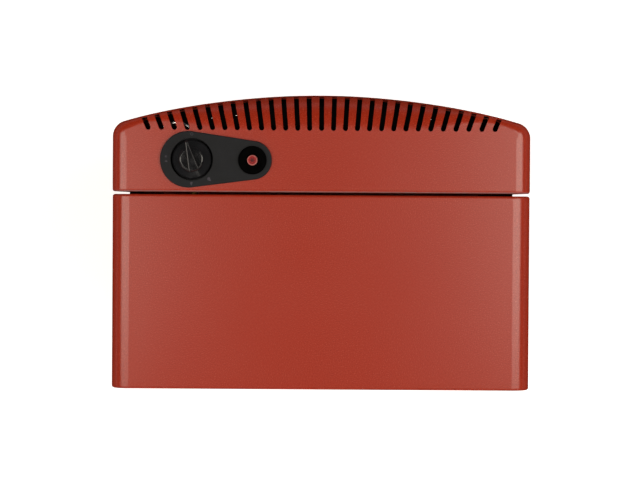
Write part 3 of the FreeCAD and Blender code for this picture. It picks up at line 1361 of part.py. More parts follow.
def hose_nozzle():
    """Brass nozzle for the gas hose, which looks back into the cylinder space."""
    back = CONTROL_LINE + S.tap_depth / 2
    hex_start = PARTITION + S.sheet + S.seat_gap
    height = TAP_BASE + S.inlet_rise
    thread = S.nozzle_thread_radius - S.running_gap
    spigot = hex_start - back + S.nozzle_hex_length
    tip = spigot + S.nozzle_length
    flats = put(prism("nozzle_hex", hexagon(S.nozzle_hex), "XY_Plane", 0, S.nozzle_hex_length),
                S.knob_offset, hex_start, height, ALONG_Y)
    section = polygon([
        (S.nozzle_bore, -S.nozzle_thread), (thread, -S.nozzle_thread), (thread, spigot),
        (S.nozzle_radius, spigot),
        (S.nozzle_radius, tip - S.nozzle_nose), (S.nozzle_radius - S.nozzle_nose, tip),
        (S.nozzle_bore, tip)])
    stem = put(turned("nozzle_stem", section), S.knob_offset, back, height, ALONG_Y)
    bore = rod("nozzle_way", S.nozzle_bore, S.nozzle_hex_length + OVERSHOOT * 2, S.knob_offset,
               hex_start - OVERSHOOT, height, ALONG_Y)
    return piece(cut("nozzle", fuse("nozzle", flats, stem), bore), "hose_nozzle")


def control_plate():
    """Moulded plate round the controls: a rounded teardrop with a collar and the knob's well."""
    plate = prism("plate_face", teardrop(as_size(0)), "XY_Plane", TOP, PLATE_TOP)
    round_body(plate, S.plate_edge, at_height(PLATE_TOP))
    collar = prism("plate_collar_block", teardrop(S.plate_lip), "XY_Plane", TOP - S.plate_collar, TOP)
    well = rod("plate_well", S.well_radius + S.well_wall, TOP - WELL_FLOOR + S.well_floor, S.knob_offset,
               CONTROL_LINE, WELL_FLOOR - S.well_floor)
    pocket = rod("plate_pocket", S.well_radius, S.well_depth + OVERSHOOT,
                 S.knob_offset, CONTROL_LINE, WELL_FLOOR)
    hole = rod("plate_spindle_hole", S.spindle_radius + S.well_hole_gap, S.well_floor + OVERSHOOT * 2,
               S.knob_offset, CONTROL_LINE, WELL_FLOOR - S.well_floor - OVERSHOOT)
    igniter = rod("plate_igniter_hole", S.igniter_neck + S.seat_gap,
                  S.plate_rise + S.plate_collar + OVERSHOOT * 2,
                  S.igniter_offset, IGNITER_LINE, TOP - S.plate_collar - OVERSHOOT)
    return piece(cut("plate", fuse("plate", plate, collar, well), pocket, hole, igniter), "control_plate")


def control_knob():
    """Black knob: a skirt in the well, a tapered collar, a round boss and a wedge grip across it."""
    base = KNOB_BASE
    body = turned("knob_body", polygon([
        (0, 0), (S.knob_skirt_radius, 0), (S.knob_skirt_radius, S.knob_skirt_rise),
        (S.knob_boss_radius, KNOB_BOSS - base), (S.knob_boss_radius, KNOB_BOSS_TOP - base),
        (0, KNOB_BOSS_TOP - base)]))
    round_body(body, S.knob_boss_edge, at_height(KNOB_BOSS_TOP - base))
    tip = S.knob_tip_width / 2
    tail = S.knob_tail_width / 2
    grip = prism("knob_grip", polygon([
        (-tip, -S.knob_grip_tip), (tip, -S.knob_grip_tip), (tail, S.knob_grip_tail),
        (-tail, S.knob_grip_tail)]),
        "XY_Plane", S.knob_skirt_rise / 2, KNOB_TOP - base)
    round_body(grip, S.knob_edge, at_height(KNOB_TOP - base))
    bore = rod("knob_bore", S.spindle_radius, S.knob_bore_depth, 0, 0, 0)
    knob = cut("knob", fuse("knob", body, grip), bore)
    put(knob, S.knob_offset, CONTROL_LINE, base, Rotation(UP, S.knob_turned.value))
    return piece(knob, "control_knob")


def igniter_bezel():
    """Black dished bezel with the igniter's threaded neck below it."""
    neck = S.igniter_neck_rise
    bore = S.button_radius + S.button_gap
    rise = S.bezel_rise
    edge = S.bezel_edge
    section = polygon([
        (bore, -neck), (S.igniter_neck, -neck), (S.igniter_neck, 0), (S.bezel_radius, 0),
        (S.bezel_radius, rise - edge), (S.bezel_radius - edge, rise), (S.bezel_dish_radius, rise),
        (bore, rise - S.bezel_dish)])
    return piece(put(turned("bezel", section), S.igniter_offset, IGNITER_LINE, PLATE_TOP),
                 "igniter_bezel")


IGNITER_NECK_BASE = PLATE_TOP - S.igniter_neck_rise


def igniter_body():
    """Piezo igniter's moulded body with its terminal at the bottom."""
    neck = S.igniter_neck
    section = polygon([
        (0, -S.igniter_rise - S.igniter_pin_rise), (S.igniter_pin, -S.igniter_rise - S.igniter_pin_rise),
        (S.igniter_pin, -S.igniter_rise), (neck, -S.igniter_rise), (neck, 0), (0, 0)])
    body = put(turned("igniter", section), S.igniter_offset, IGNITER_LINE, IGNITER_NECK_BASE)
    return piece(body, "igniter_body")


def igniter_button():
    """Red push button that fires the spark."""
    top = S.bezel_rise - S.bezel_dish + S.button_rise
    foot = S.button_travel + S.seat_gap - S.igniter_neck_rise
    section = polygon([
        (0, foot), (S.button_radius, foot), (S.button_radius, top - S.button_edge),
        (S.button_radius - S.button_edge, top), (0, top)])
    return piece(put(turned("button", section), S.igniter_offset, IGNITER_LINE, PLATE_TOP),
                 "igniter_button")


PILOT_LINE = FRAME_FRONT - S.pilot_reach
PILOT_FLOOR = burner_field()[1] + S.pilot_sheet * 2
PILOT_FOOT = PILOT_FLOOR - S.pilot_sheet - S.pilot_foot


def pilot_burner():
    """Pilot burner with the angle that holds it, the electrode and the thermocouple."""
    half = S.pilot_spacing + S.pilot_radius * 2
    across = (S.pilot_offset - half, S.pilot_offset + half)
    shelf = box("pilot_shelf", across, (FRAME_FRONT - S.pilot_reach * 2, FRAME_FRONT),
                (PILOT_FLOOR - S.pilot_sheet, PILOT_FLOOR))
    lip = box("pilot_lip", across, (FRAME_FRONT - S.pilot_sheet, FRAME_FRONT),
              (PILOT_FLOOR - S.pilot_sheet, PILOT_FLOOR - S.pilot_sheet + S.pilot_lip))
    tube = rod("pilot_tube", S.pilot_radius, S.pilot_rise + S.pilot_sheet + S.pilot_foot,
               S.pilot_offset, PILOT_LINE, PILOT_FOOT)
    holes = [rod(f"pilot_hole_{name}", radius + S.seat_gap, S.pilot_sheet + OVERSHOOT * 2,
                 S.pilot_offset + S.pilot_spacing * side, PILOT_LINE,
                 PILOT_FLOOR - S.pilot_sheet - OVERSHOOT)
             for name, side, radius in (("spark", 1, S.electrode_radius), ("probe", -1, S.probe_radius))]
    return piece(cut("pilot", fuse("pilot", shelf, lip, tube), *holes), "pilot_burner")


def spark_electrode():
    """Wire in a ceramic sleeve beside the pilot."""
    sleeve = S.pilot_foot + S.pilot_sheet + S.electrode_rise
    section = polygon([
        (0, 0), (S.electrode_radius, 0), (S.electrode_radius, sleeve), (S.electrode_wire, sleeve),
        (S.electrode_wire, sleeve + S.electrode_tip), (0, sleeve + S.electrode_tip)])
    rod_piece = put(turned("electrode", section), S.pilot_offset + S.pilot_spacing, PILOT_LINE,
                    PILOT_FOOT)
    return piece(rod_piece, "spark_electrode")


def thermocouple():
    """Probe in the pilot flame that keeps the tap's magnet unit open."""
    rise = S.pilot_foot + S.pilot_sheet + S.probe_rise
    section = polygon([(0, 0), (S.probe_radius, 0), (S.probe_radius, rise - S.probe_radius / 2),
                       (S.probe_radius / 2, rise), (0, rise)])
    probe = put(turned("probe", section), S.pilot_offset - S.pilot_spacing, PILOT_LINE, PILOT_FOOT)
    return piece(probe, "thermocouple")


def ignition_lead():
    """Insulated lead from the igniter's terminal, round the burner, to the electrode's foot."""
    run = PILOT_FOOT - S.lead_drop
    front = CONTROL_LINE - S.lead_pass
    terminal = IGNITER_NECK_BASE - S.igniter_rise - S.igniter_pin_rise
    high = terminal - S.lead_under
    spark = S.pilot_offset + S.pilot_spacing
    points = [
        point(spark, PILOT_LINE, PILOT_FOOT), point(spark, PILOT_LINE, run),
        point(S.lead_riser, PILOT_LINE, run),
        point(S.lead_riser, front, high), point(S.igniter_offset, front, high),
        point(S.igniter_offset, IGNITER_LINE, high), point(S.igniter_offset, IGNITER_LINE, terminal)]
    return bent_piece("ignition_lead", points, S.lead_bend, S.lead_radius)


def thermocouple_lead():
    """Copper capillary from the thermocouple, round the burner, to the tap's magnet unit."""
    run = PILOT_FOOT - S.lead_drop - S.probe_lead_step
    probe = S.pilot_offset - S.pilot_spacing
    magnet = TAP_BASE + S.magnet_rise
    points = [
        point(probe, PILOT_LINE, PILOT_FOOT), point(probe, PILOT_LINE, run),
        point(S.probe_lead_riser, PILOT_LINE, run), point(S.probe_lead_riser, CONTROL_LINE, magnet),
        point(S.knob_offset + S.tap_width / 2, CONTROL_LINE, magnet)]
    return bent_piece("thermocouple_lead", points, S.probe_lead_bend, S.probe_lead_radius)


def castor_places():
    """Name and stem axis of each castor."""
    front = FRONT + S.castor_front
    back = BACK - S.castor_back
    return (
        ("front_left", -S.castor_spread, front),
        ("front_right", S.castor_spread, front),
        ("rear_left", -S.castor_spread, back),
        ("rear_right", S.castor_spread, back),
    )


def castor_stems():
    """Steel stems of the four castors, riveted into the tray."""
    flange_base = BOTTOM - S.stem_flange_rise
    low = flange_base - S.seat_gap - S.stem_depth
    flange = flange_base - low
    tray_top = BOTTOM + S.sheet - low
    section = [
        (0, 0), (S.stem_radius, 0), (S.stem_radius, flange), (S.stem_flange_radius, flange),
        (S.stem_flange_radius, BOTTOM - low), (S.stem_radius, BOTTOM - low), (S.stem_radius, tray_top),
        (S.stem_head_radius, tray_top),
        (S.stem_head_radius - S.stem_head_rise / 2, tray_top + S.stem_head_rise),
        (0, tray_top + S.stem_head_rise)]
    stems = [put(turned(f"stem_{name}", polygon(section)), x, y, low) for name, x, y in castor_places()]
    return piece(group("castor_stems", stems), "castor_stems")


def castor_hood(name, x, y):
    """Moulded castor hood: a boss round the stem, a web between the wheels and a cap over them."""
    axle_y = y + S.castor_trail
    axle_z = S.wheel_radius
    inner = S.wheel_radius + S.hood_clear
    outer = inner + S.hood_wall
    half = S.wheel_inner + S.wheel_width
    boss_top = BOTTOM - S.stem_flange_rise - S.seat_gap
    boss = rod(f"castor_{name}_boss", S.boss_radius, boss_top - axle_z, x, y, axle_z)
    cap = cut(f"castor_{name}_cap",
              rod(f"castor_{name}_outer", outer, half * 2, x - half, axle_y, axle_z, ALONG_X),
              rod(f"castor_{name}_inner", inner, half * 2 + OVERSHOOT * 2,
                  x - half - OVERSHOOT, axle_y, axle_z, ALONG_X),
              box(f"castor_{name}_below", (x - half - OVERSHOOT, x + half + OVERSHOOT),
                  (axle_y - outer - OVERSHOOT, axle_y + outer + OVERSHOOT),
                  (axle_z - outer - OVERSHOOT, axle_z + S.hood_skirt)))
    disc = rod(f"castor_{name}_disc", inner + S.hood_wall / 2, S.web_half * 2,
               x - S.web_half, axle_y, axle_z, ALONG_X)
    ground = box(f"castor_{name}_ground", (x - half, x + half), (axle_y - outer, axle_y + outer),
                 (axle_z - outer, axle_z - S.web_low))
    web = cut(f"castor_{name}_web", disc, ground)
    stem_hole = rod(f"castor_{name}_stem_hole", S.stem_radius + S.running_gap,
                    S.stem_depth + S.seat_gap + OVERSHOOT,
                    x, y, boss_top - S.stem_depth - S.seat_gap)
    axle_hole = rod(f"castor_{name}_axle_hole", S.axle_radius, S.web_half * 2 + OVERSHOOT * 2,
                    x - S.web_half - OVERSHOOT, axle_y, axle_z, ALONG_X)
    clear = [rod(f"castor_{name}_clear_{side}", inner, S.wheel_width + OVERSHOOT,
                 start, axle_y, axle_z, ALONG_X)
             for side, start in (("left", x - half - OVERSHOOT), ("right", x + S.wheel_inner))]
    moulding = cut(f"castor_{name}", fuse(f"castor_{name}", cap, web, boss), stem_hole, axle_hole, *clear)
    return piece(moulding, f"castor_hood_{name}")


def castor_axle(name, x, y):
    """Steel axle pressed through the castor's web."""
    half = S.wheel_inner + S.wheel_width - S.hub_recess
    axle = rod(f"axle_{name}", S.axle_radius, half * 2,
               x - half, y + S.castor_trail, S.wheel_radius, ALONG_X)
    return piece(axle, f"castor_axle_{name}")


def castor_wheels(name, x, y):
    """The castor's two wheels, each with a rounded tread and a recessed outer face."""
    bore = S.axle_radius + S.running_gap
    tread = S.wheel_radius
    width = S.wheel_width
    edge = S.wheel_edge
    section = [
        (bore, 0), (tread - edge, 0), (tread, edge), (tread, width - edge), (tread - edge, width),
        (S.hub_radius, width), (S.hub_radius - S.hub_recess, width - S.hub_recess),
        (bore, width - S.hub_recess)]
    wheels = []
    for side, turn in ((-1, ALONG_X.inverted()), (1, ALONG_X)):
        wheel = turned(f"wheel_{name}_{'right' if side > 0 else 'left'}", polygon(section))
        wheels.append(put(wheel, x + S.wheel_inner * side, y + S.castor_trail, S.wheel_radius, turn))
    return piece(group(f"castor_wheels_{name}", wheels), f"castor_wheels_{name}")


def build():
    """Make every piece of the heater."""
    holes = screw_holes()
    top_cover()
    front_shell(holes)
    rear_hood(holes)
    seam_strips()
    base_tray(holes)
    rear_panel()
    panel_clips()
    partition(holes)
    case_screws()
    guard()
    reflector()
    flue_deflector()
    burner_frame()
    burner_brackets()
    plaque_gaskets()
    injector_bar()
    injectors()
    for name, side in BURNERS:
        burner_box(name, side)
        plaque(name, side)
        gas_tube(name, side)
    pilot_burner()
    spark_electrode()
    thermocouple()
    ignition_lead()
    thermocouple_lead()
    tap_body()
    tap_plug()
    valve_spindle()
    tap_bracket()
    hex_nut("tap_nut", S.tap_nut, S.tap_nut_rise, S.tap_neck_radius, S.knob_offset, CONTROL_LINE,
            TAP_TOP + S.tap_bracket_sheet)
    hose_nozzle()
    control_plate()
    control_knob()
    igniter_bezel()
    hex_nut("igniter_nut", S.igniter_nut, S.igniter_nut_rise, S.igniter_neck,
            S.igniter_offset, IGNITER_LINE, TOP - S.plate_collar - S.igniter_nut_rise)
    igniter_body()
    igniter_button()
    castor_stems()
    for name, x, y in castor_places():
        castor_hood(name, x, y)
        castor_axle(name, x, y)
        castor_wheels(name, x, y)


def check():
    """Stop if any object failed or any piece is not a sound solid."""
    for item in DOC.Objects:
        if "Invalid" in item.State or "Error" in item.State:
            raise RuntimeError(f"{item.Name} failed: {item.State}")
    for item in PIECES:
        if item.Shape.isNull() or not item.Shape.isValid() or not item.Shape.Solids:
            raise RuntimeError(f"{item.Label} is not a sound solid")


def export():
    """Write each piece under its own name."""
    os.makedirs("parts", exist_ok=True)
    for item in PIECES:
        item.Shape.exportStep(os.path.join("parts", f"{item.Label}.step"))


build()
DOC.recompute()
check()
export()
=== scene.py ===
"""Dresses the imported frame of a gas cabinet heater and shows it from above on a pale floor."""

import logging
import math
from dataclasses import dataclass
from enum import Enum
from typing import Any, Iterable, Sequence

import bmesh
import bpy
from bmesh.types import BMEdge, BMesh, BMFace, BMVert
from bpy.types import Material, Node, NodeSocket, NodeTree
from mathutils import Matrix, Vector


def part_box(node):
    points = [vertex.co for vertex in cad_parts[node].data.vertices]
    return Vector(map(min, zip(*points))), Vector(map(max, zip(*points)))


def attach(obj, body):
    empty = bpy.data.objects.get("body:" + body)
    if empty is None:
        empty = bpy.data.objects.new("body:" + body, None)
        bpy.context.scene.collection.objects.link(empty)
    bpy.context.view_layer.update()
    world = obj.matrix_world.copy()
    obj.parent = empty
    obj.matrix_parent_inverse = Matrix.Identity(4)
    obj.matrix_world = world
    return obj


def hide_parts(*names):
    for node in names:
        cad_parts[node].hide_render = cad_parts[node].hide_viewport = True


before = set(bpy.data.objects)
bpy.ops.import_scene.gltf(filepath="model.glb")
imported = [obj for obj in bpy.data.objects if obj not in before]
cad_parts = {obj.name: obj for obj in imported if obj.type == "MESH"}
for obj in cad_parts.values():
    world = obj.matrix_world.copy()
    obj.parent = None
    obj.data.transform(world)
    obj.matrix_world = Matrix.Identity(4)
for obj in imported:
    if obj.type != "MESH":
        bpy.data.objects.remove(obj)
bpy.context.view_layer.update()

Pair = tuple[float, float]
Triple = tuple[float, float, float]

ACROSS = Vector((1, 0, 0))
BACK = Vector((0, 1, 0))
MM = 0.001
MERGE = 0.001 * MM
BEVEL_PROFILE = 0.5
# Angle in degrees above which an edge stays sharp
CREASE = 32.0

# Sockets of the colour mix node, which share their names with its other kinds of value
MIX_FACTOR = 0
MIX_FIRST = 6
MIX_SECOND = 7
MIX_RESULT = 2

log = logging.getLogger("heater")


def linear(colour: str) -> tuple[float, float, float, float]:
    """Turn an sRGB hex colour into the linear colour that sockets take.

    Args:
        colour: six hex digits, such as "a44132".

    Returns:
        Linear red, green and blue, and an alpha of one.
    """
    parts = [int(colour[start:start + 2], 16) / 255 for start in (0, 2, 4)]
    red, green, blue = [part / 12.92 if part <= 0.04045 else ((part + 0.055) / 1.055) ** 2.4
                        for part in parts]
    return red, green, blue, 1.0


def add_node(tree: NodeTree, kind: str, links: dict[str | int, Any] | None = None,
             ramp: Iterable[tuple[float, str]] = (), **settings: Any) -> Node:
    """Add one node with its settings and with what goes into its sockets.

    Args:
        tree: node tree that gets the node.
        kind: Blender's name for the node.
        links: a value, or another node's output, for each socket by name or number.
        ramp: positions and hex colours of a colour ramp.
        settings: the node's own properties.

    Returns:
        The new node.
    """
    node = tree.nodes.new(kind)
    for name, value in settings.items():
        setattr(node, name, value)
    colours = list(ramp)
    if colours:
        stops = node.color_ramp.elements
        stops.remove(stops[1])
        stops[0].position, first = colours[0]
        stops[0].color = linear(first)
        for position, colour in colours[1:]:
            stops.new(position).color = linear(colour)
    for socket, value in (links or {}).items():
        if isinstance(value, NodeSocket):
            tree.links.new(value, node.inputs[socket])
        else:
            node.inputs[socket].default_value = value
    return node


class Grain(Enum):
    """How the surface of a metal was left by the way it was made."""

    SPANGLE = "crystals of dipped zinc"
    DRAWN = "lines of drawing or rolling"
    CLOUDED = "soft patches of plating or oxide"


class Finish:
    """A finish that makes its node material the first time a piece asks for it."""

    label: str

    def material(self) -> Material:
        """Return this finish's material, which is made only once."""
        return bpy.data.materials.get(self.label) or self.make()

    def make(self) -> Material:
        """Make the material from this finish's own sockets.

        Returns:
            The new material.
        """
        material = bpy.data.materials.new(self.label)
        material.use_nodes = True
        tree = material.node_tree
        tree.nodes.clear()
        place = add_node(tree, "ShaderNodeTexCoord").outputs["Object"]
        shader = add_node(tree, "ShaderNodeBsdfPrincipled", self.sockets(tree, place))
        add_node(tree, "ShaderNodeOutputMaterial", {"Surface": shader.outputs["BSDF"]})
        return material

    def sockets(self, tree: NodeTree, place: NodeSocket) -> dict[str, Any]:
        """Return what goes into the shader's sockets."""
        raise NotImplementedError


@dataclass(frozen=True)
class PowderCoat(Finish):
    """Baked powder coat on pressed steel: satin, a little pebbled, with fine flecks, and painted
    shade on its inside.
    """

    label: str = "powder_coated_steel_baked"
    colour: str = "9d2911"
    shade: str = "83200b"
    fleck: str = "b3442f"
    primer: str = "80787a"
    # Dark colour of the painted shade on the case's inside near the front
    inside: str = "120b0a"
    # Noise levels of the full shade, of the plain colour's two ends and of the full fleck
    tone_levels: tuple[float, float, float, float] = (0.28, 0.46, 0.56, 0.76)
    # Real flecks are about 0.3 mm, drawn three times as coarse so that they show
    fleck_mm: float = 1.0
    # Real pebbling is about 1 mm from crest to crest, drawn coarser for the same reason
    pebble_mm: float = 2.2
    pebble_depth_mm: float = 0.002
    pebble_strength: float = 0.5
    cloud_mm: float = 90.0
    rough: Pair = (0.21, 0.26)
    ior: float = 1.5
    scuff_mm: float = 3.0
    scuff_rough: float = 0.65
    # Heights where the scuffs by the floor start and where they are full
    scuff_heights: Pair = (0.10, 0.058)
    scuff_levels: Pair = (0.58, 0.72)
    scuff_share: float = 0.55
    # Middle and half width of the line where the fold beside the seam is rubbed to the primer
    rub_line: float = -0.05
    rub_half: float = 0.0011
    rub_levels: Pair = (0.3, 0.7)
    rub_shares: Pair = (0.3, 0.6)
    # In front of this depth, what faces backwards gets painted shade, darkening the case's inside
    painted_shade_from: float = -0.09
    painted_shade_facing: float = 0.25

    def wear(self, tree: NodeTree, place: NodeSocket) -> NodeSocket:
        """Find where scuffs by the floor and rubbing along the fold have bared the primer.

        Args:
            tree: the material's node tree.
            place: object coordinates in metres.

        Returns:
            The share of primer.
        """
        axes = add_node(tree, "ShaderNodeSeparateXYZ", {"Vector": place})
        chips = add_node(tree, "ShaderNodeTexNoise", {
            "Vector": place, "Scale": 1 / (self.scuff_mm * MM), "Detail": 4.0,
            "Roughness": self.scuff_rough})
        low = add_node(tree, "ShaderNodeMapRange", {
            "Value": axes.outputs["Z"], "From Min": self.scuff_heights[0],
            "From Max": self.scuff_heights[1]})
        bare = add_node(tree, "ShaderNodeMapRange", {
            "Value": chips.outputs["Fac"], "From Min": self.scuff_levels[0],
            "From Max": self.scuff_levels[1], "To Max": self.scuff_share})
        scuffed = add_node(tree, "ShaderNodeMath", {0: low.outputs[0], 1: bare.outputs[0]},
                           operation="MULTIPLY")
        from_line = add_node(tree, "ShaderNodeMath", {0: axes.outputs["Y"], 1: self.rub_line},
                             operation="SUBTRACT")
        beside = add_node(tree, "ShaderNodeMath", {0: from_line.outputs[0]}, operation="ABSOLUTE")
        line = add_node(tree, "ShaderNodeMapRange", {
            "Value": beside.outputs[0], "From Min": self.rub_half, "From Max": self.rub_half / 2})
        thin = add_node(tree, "ShaderNodeMapRange", {
            "Value": chips.outputs["Fac"], "From Min": self.rub_levels[0],
            "From Max": self.rub_levels[1], "To Min": self.rub_shares[0],
            "To Max": self.rub_shares[1]})
        rubbed = add_node(tree, "ShaderNodeMath", {0: line.outputs[0], 1: thin.outputs[0]},
                          operation="MULTIPLY")
        return add_node(tree, "ShaderNodeMath", {0: scuffed.outputs[0], 1: rubbed.outputs[0]},
                        operation="MAXIMUM").outputs[0]

    def inside_shade_mask(self, tree: NodeTree, place: NodeSocket) -> NodeSocket:
        """Find where shade is painted on the case's inside: what faces backwards near the front.

        Args:
            tree: the material's node tree.
            place: object coordinates in metres.

        Returns:
            One where the shade is painted and zero elsewhere.
        """
        axes = add_node(tree, "ShaderNodeSeparateXYZ", {"Vector": place})
        facing = add_node(tree, "ShaderNodeSeparateXYZ", {
            "Vector": add_node(tree, "ShaderNodeTexCoord").outputs["Normal"]})
        backwards = add_node(tree, "ShaderNodeMath", {
            0: facing.outputs["Y"], 1: self.painted_shade_facing}, operation="GREATER_THAN")
        forward = add_node(tree, "ShaderNodeMath", {0: axes.outputs["Y"], 1: self.painted_shade_from},
                           operation="LESS_THAN")
        return add_node(tree, "ShaderNodeMath", {0: backwards.outputs[0], 1: forward.outputs[0]},
                        operation="MULTIPLY").outputs[0]

    def sockets(self, tree: NodeTree, place: NodeSocket) -> dict[str, Any]:
        """Mix flecks, soft clouds, scuffs by the floor, a rubbed seam and painted shade on the
        inside.

        Args:
            tree: the material's node tree.
            place: object coordinates in metres.

        Returns:
            What goes into each of the shader's sockets.
        """
        flecks = add_node(tree, "ShaderNodeTexNoise", {
            "Vector": place, "Scale": 1 / (self.fleck_mm * MM), "Detail": 2.0})
        shades = (self.shade, self.colour, self.colour, self.fleck)
        paint = add_node(tree, "ShaderNodeValToRGB", {"Fac": flecks.outputs["Fac"]},
                         zip(self.tone_levels, shades))
        worn = add_node(tree, "ShaderNodeMix", {
            MIX_FACTOR: self.wear(tree, place), MIX_FIRST: paint.outputs["Color"],
            MIX_SECOND: linear(self.primer)}, data_type="RGBA")
        # Painted shade: the inside near the front is darkened to stand in for the shade that falls
        # there
        with_inside_shade = add_node(tree, "ShaderNodeMix", {
            MIX_FACTOR: self.inside_shade_mask(tree, place), MIX_FIRST: worn.outputs[MIX_RESULT],
            MIX_SECOND: linear(self.inside)}, data_type="RGBA")
        clouds = add_node(tree, "ShaderNodeTexNoise", {
            "Vector": place, "Scale": 1 / (self.cloud_mm * MM), "Detail": 3.0})
        satin = add_node(tree, "ShaderNodeMapRange", {
            "Value": clouds.outputs["Fac"], "To Min": self.rough[0], "To Max": self.rough[1]})
        pebbles = add_node(tree, "ShaderNodeTexNoise", {
            "Vector": place, "Scale": 1 / (self.pebble_mm * MM), "Detail": 1.0})
        pebbled = add_node(tree, "ShaderNodeBump", {
            "Height": pebbles.outputs["Fac"], "Strength": self.pebble_strength,
            "Distance": self.pebble_depth_mm * MM})
        return {"Base Color": with_inside_shade.outputs[MIX_RESULT], "Roughness": satin.outputs[0],
                "Normal": pebbled.outputs["Normal"], "IOR": self.ior}


@dataclass(frozen=True)
class Metal(Finish):
    """A bare or plated metal, with the marks its making left and, where it is hot, a heat tint."""

    label: str
    colour: str
    dull: str
    grain: Grain
    grain_mm: float
    rough: Pair
    stretch: Triple = (1.0, 1.0, 1.0)
    relief_mm: float = 0.02
    relief_strength: float = 0.4
    # Levels of the dull and the bright tone, for crystals and for every other grain
    crystal_levels: Pair = (0.05, 0.95)
    cloud_levels: Pair = (0.32, 0.68)
    tint: str = ""
    # Heights where the tint starts and where it is full
    tint_heights: Pair = (0.0, 1.0)
    tint_patch_mm: float = 26.0

    def heated(self, tree: NodeTree, place: NodeSocket, colour: NodeSocket) -> NodeSocket:
        """Tint a colour in soft patches, stronger further up.

        Args:
            tree: the material's node tree.
            place: object coordinates in metres.
            colour: the metal's colour where it is cold.

        Returns:
            The tinted colour.
        """
        axes = add_node(tree, "ShaderNodeSeparateXYZ", {"Vector": place})
        hot = add_node(tree, "ShaderNodeMapRange", {
            "Value": axes.outputs["Z"], "From Min": self.tint_heights[0],
            "From Max": self.tint_heights[1]})
        patches = add_node(tree, "ShaderNodeTexNoise", {
            "Vector": place, "Scale": 1 / (self.tint_patch_mm * MM), "Detail": 3.0})
        share = add_node(tree, "ShaderNodeMath", {0: hot.outputs[0], 1: patches.outputs["Fac"]},
                         operation="MULTIPLY")
        tinted = add_node(tree, "ShaderNodeMix", {
            MIX_FACTOR: share.outputs[0], MIX_FIRST: colour, MIX_SECOND: linear(self.tint)},
            data_type="RGBA")
        return tinted.outputs[MIX_RESULT]

    def sockets(self, tree: NodeTree, place: NodeSocket) -> dict[str, Any]:
        """Draw the grain, its change in gloss, and the heat tint where there is one.

        Args:
            tree: the material's node tree.
            place: object coordinates in metres.

        Returns:
            What goes into each of the shader's sockets.
        """
        scale = 1 / (self.grain_mm * MM)
        if self.grain is Grain.SPANGLE:
            levels = self.crystal_levels
            crystals = add_node(tree, "ShaderNodeTexVoronoi", {"Vector": place, "Scale": scale})
            marks = add_node(tree, "ShaderNodeSeparateColor", {
                "Color": crystals.outputs["Color"]}).outputs[0]
        else:
            levels = self.cloud_levels
            drawn = add_node(tree, "ShaderNodeMapping", {"Vector": place, "Scale": self.stretch})
            marks = add_node(tree, "ShaderNodeTexNoise", {
                "Vector": drawn.outputs["Vector"], "Scale": scale, "Detail": 3.0}).outputs["Fac"]
        colour = add_node(tree, "ShaderNodeValToRGB", {"Fac": marks},
                          zip(levels, (self.dull, self.colour))).outputs["Color"]
        if self.tint:
            colour = self.heated(tree, place, colour)
        gloss = add_node(tree, "ShaderNodeMapRange", {
            "Value": marks, "To Min": self.rough[1], "To Max": self.rough[0]})
        relief = add_node(tree, "ShaderNodeBump", {
            "Height": marks, "Strength": self.relief_strength, "Distance": self.relief_mm * MM})
        return {"Base Color": colour, "Metallic": 1.0, "Roughness": gloss.outputs[0],
                "Normal": relief.outputs["Normal"]}


@dataclass(frozen=True)
class Moulded(Finish):
    """Moulded plastic or rubber: an even colour with a fine tool grain and paler rubbed patches."""

    label: str
    colour: str
    rubbed: str
    grain_mm: float
    depth_mm: float
    rough: Pair
    patch_mm: float = 14.0
    ior: float = 1.5
    grain_strength: float = 0.6
    tone_levels: Pair = (0.42, 0.78)
    gloss_levels: Pair = (0.3, 0.7)

    def sockets(self, tree: NodeTree, place: NodeSocket) -> dict[str, Any]:
        """Draw the tool grain and the patches that hands have rubbed.

        Args:
            tree: the material's node tree.
            place: object coordinates in metres.

        Returns:
            What goes into each of the shader's sockets.
        """
        patches = add_node(tree, "ShaderNodeTexNoise", {
            "Vector": place, "Scale": 1 / (self.patch_mm * MM), "Detail": 4.0})
        colour = add_node(tree, "ShaderNodeValToRGB", {"Fac": patches.outputs["Fac"]},
                          zip(self.tone_levels, (self.colour, self.rubbed)))
        gloss = add_node(tree, "ShaderNodeMapRange", {
            "Value": patches.outputs["Fac"], "From Min": self.gloss_levels[0],
            "From Max": self.gloss_levels[1], "To Min": self.rough[0], "To Max": self.rough[1]})
        grain = add_node(tree, "ShaderNodeTexNoise", {
            "Vector": place, "Scale": 1 / (self.grain_mm * MM), "Detail": 2.0})
        grained = add_node(tree, "ShaderNodeBump", {
            "Height": grain.outputs["Fac"], "Strength": self.grain_strength,
            "Distance": self.depth_mm * MM})
        return {"Base Color": colour.outputs["Color"], "Roughness": gloss.outputs[0],
                "Normal": grained.outputs["Normal"], "IOR": self.ior}


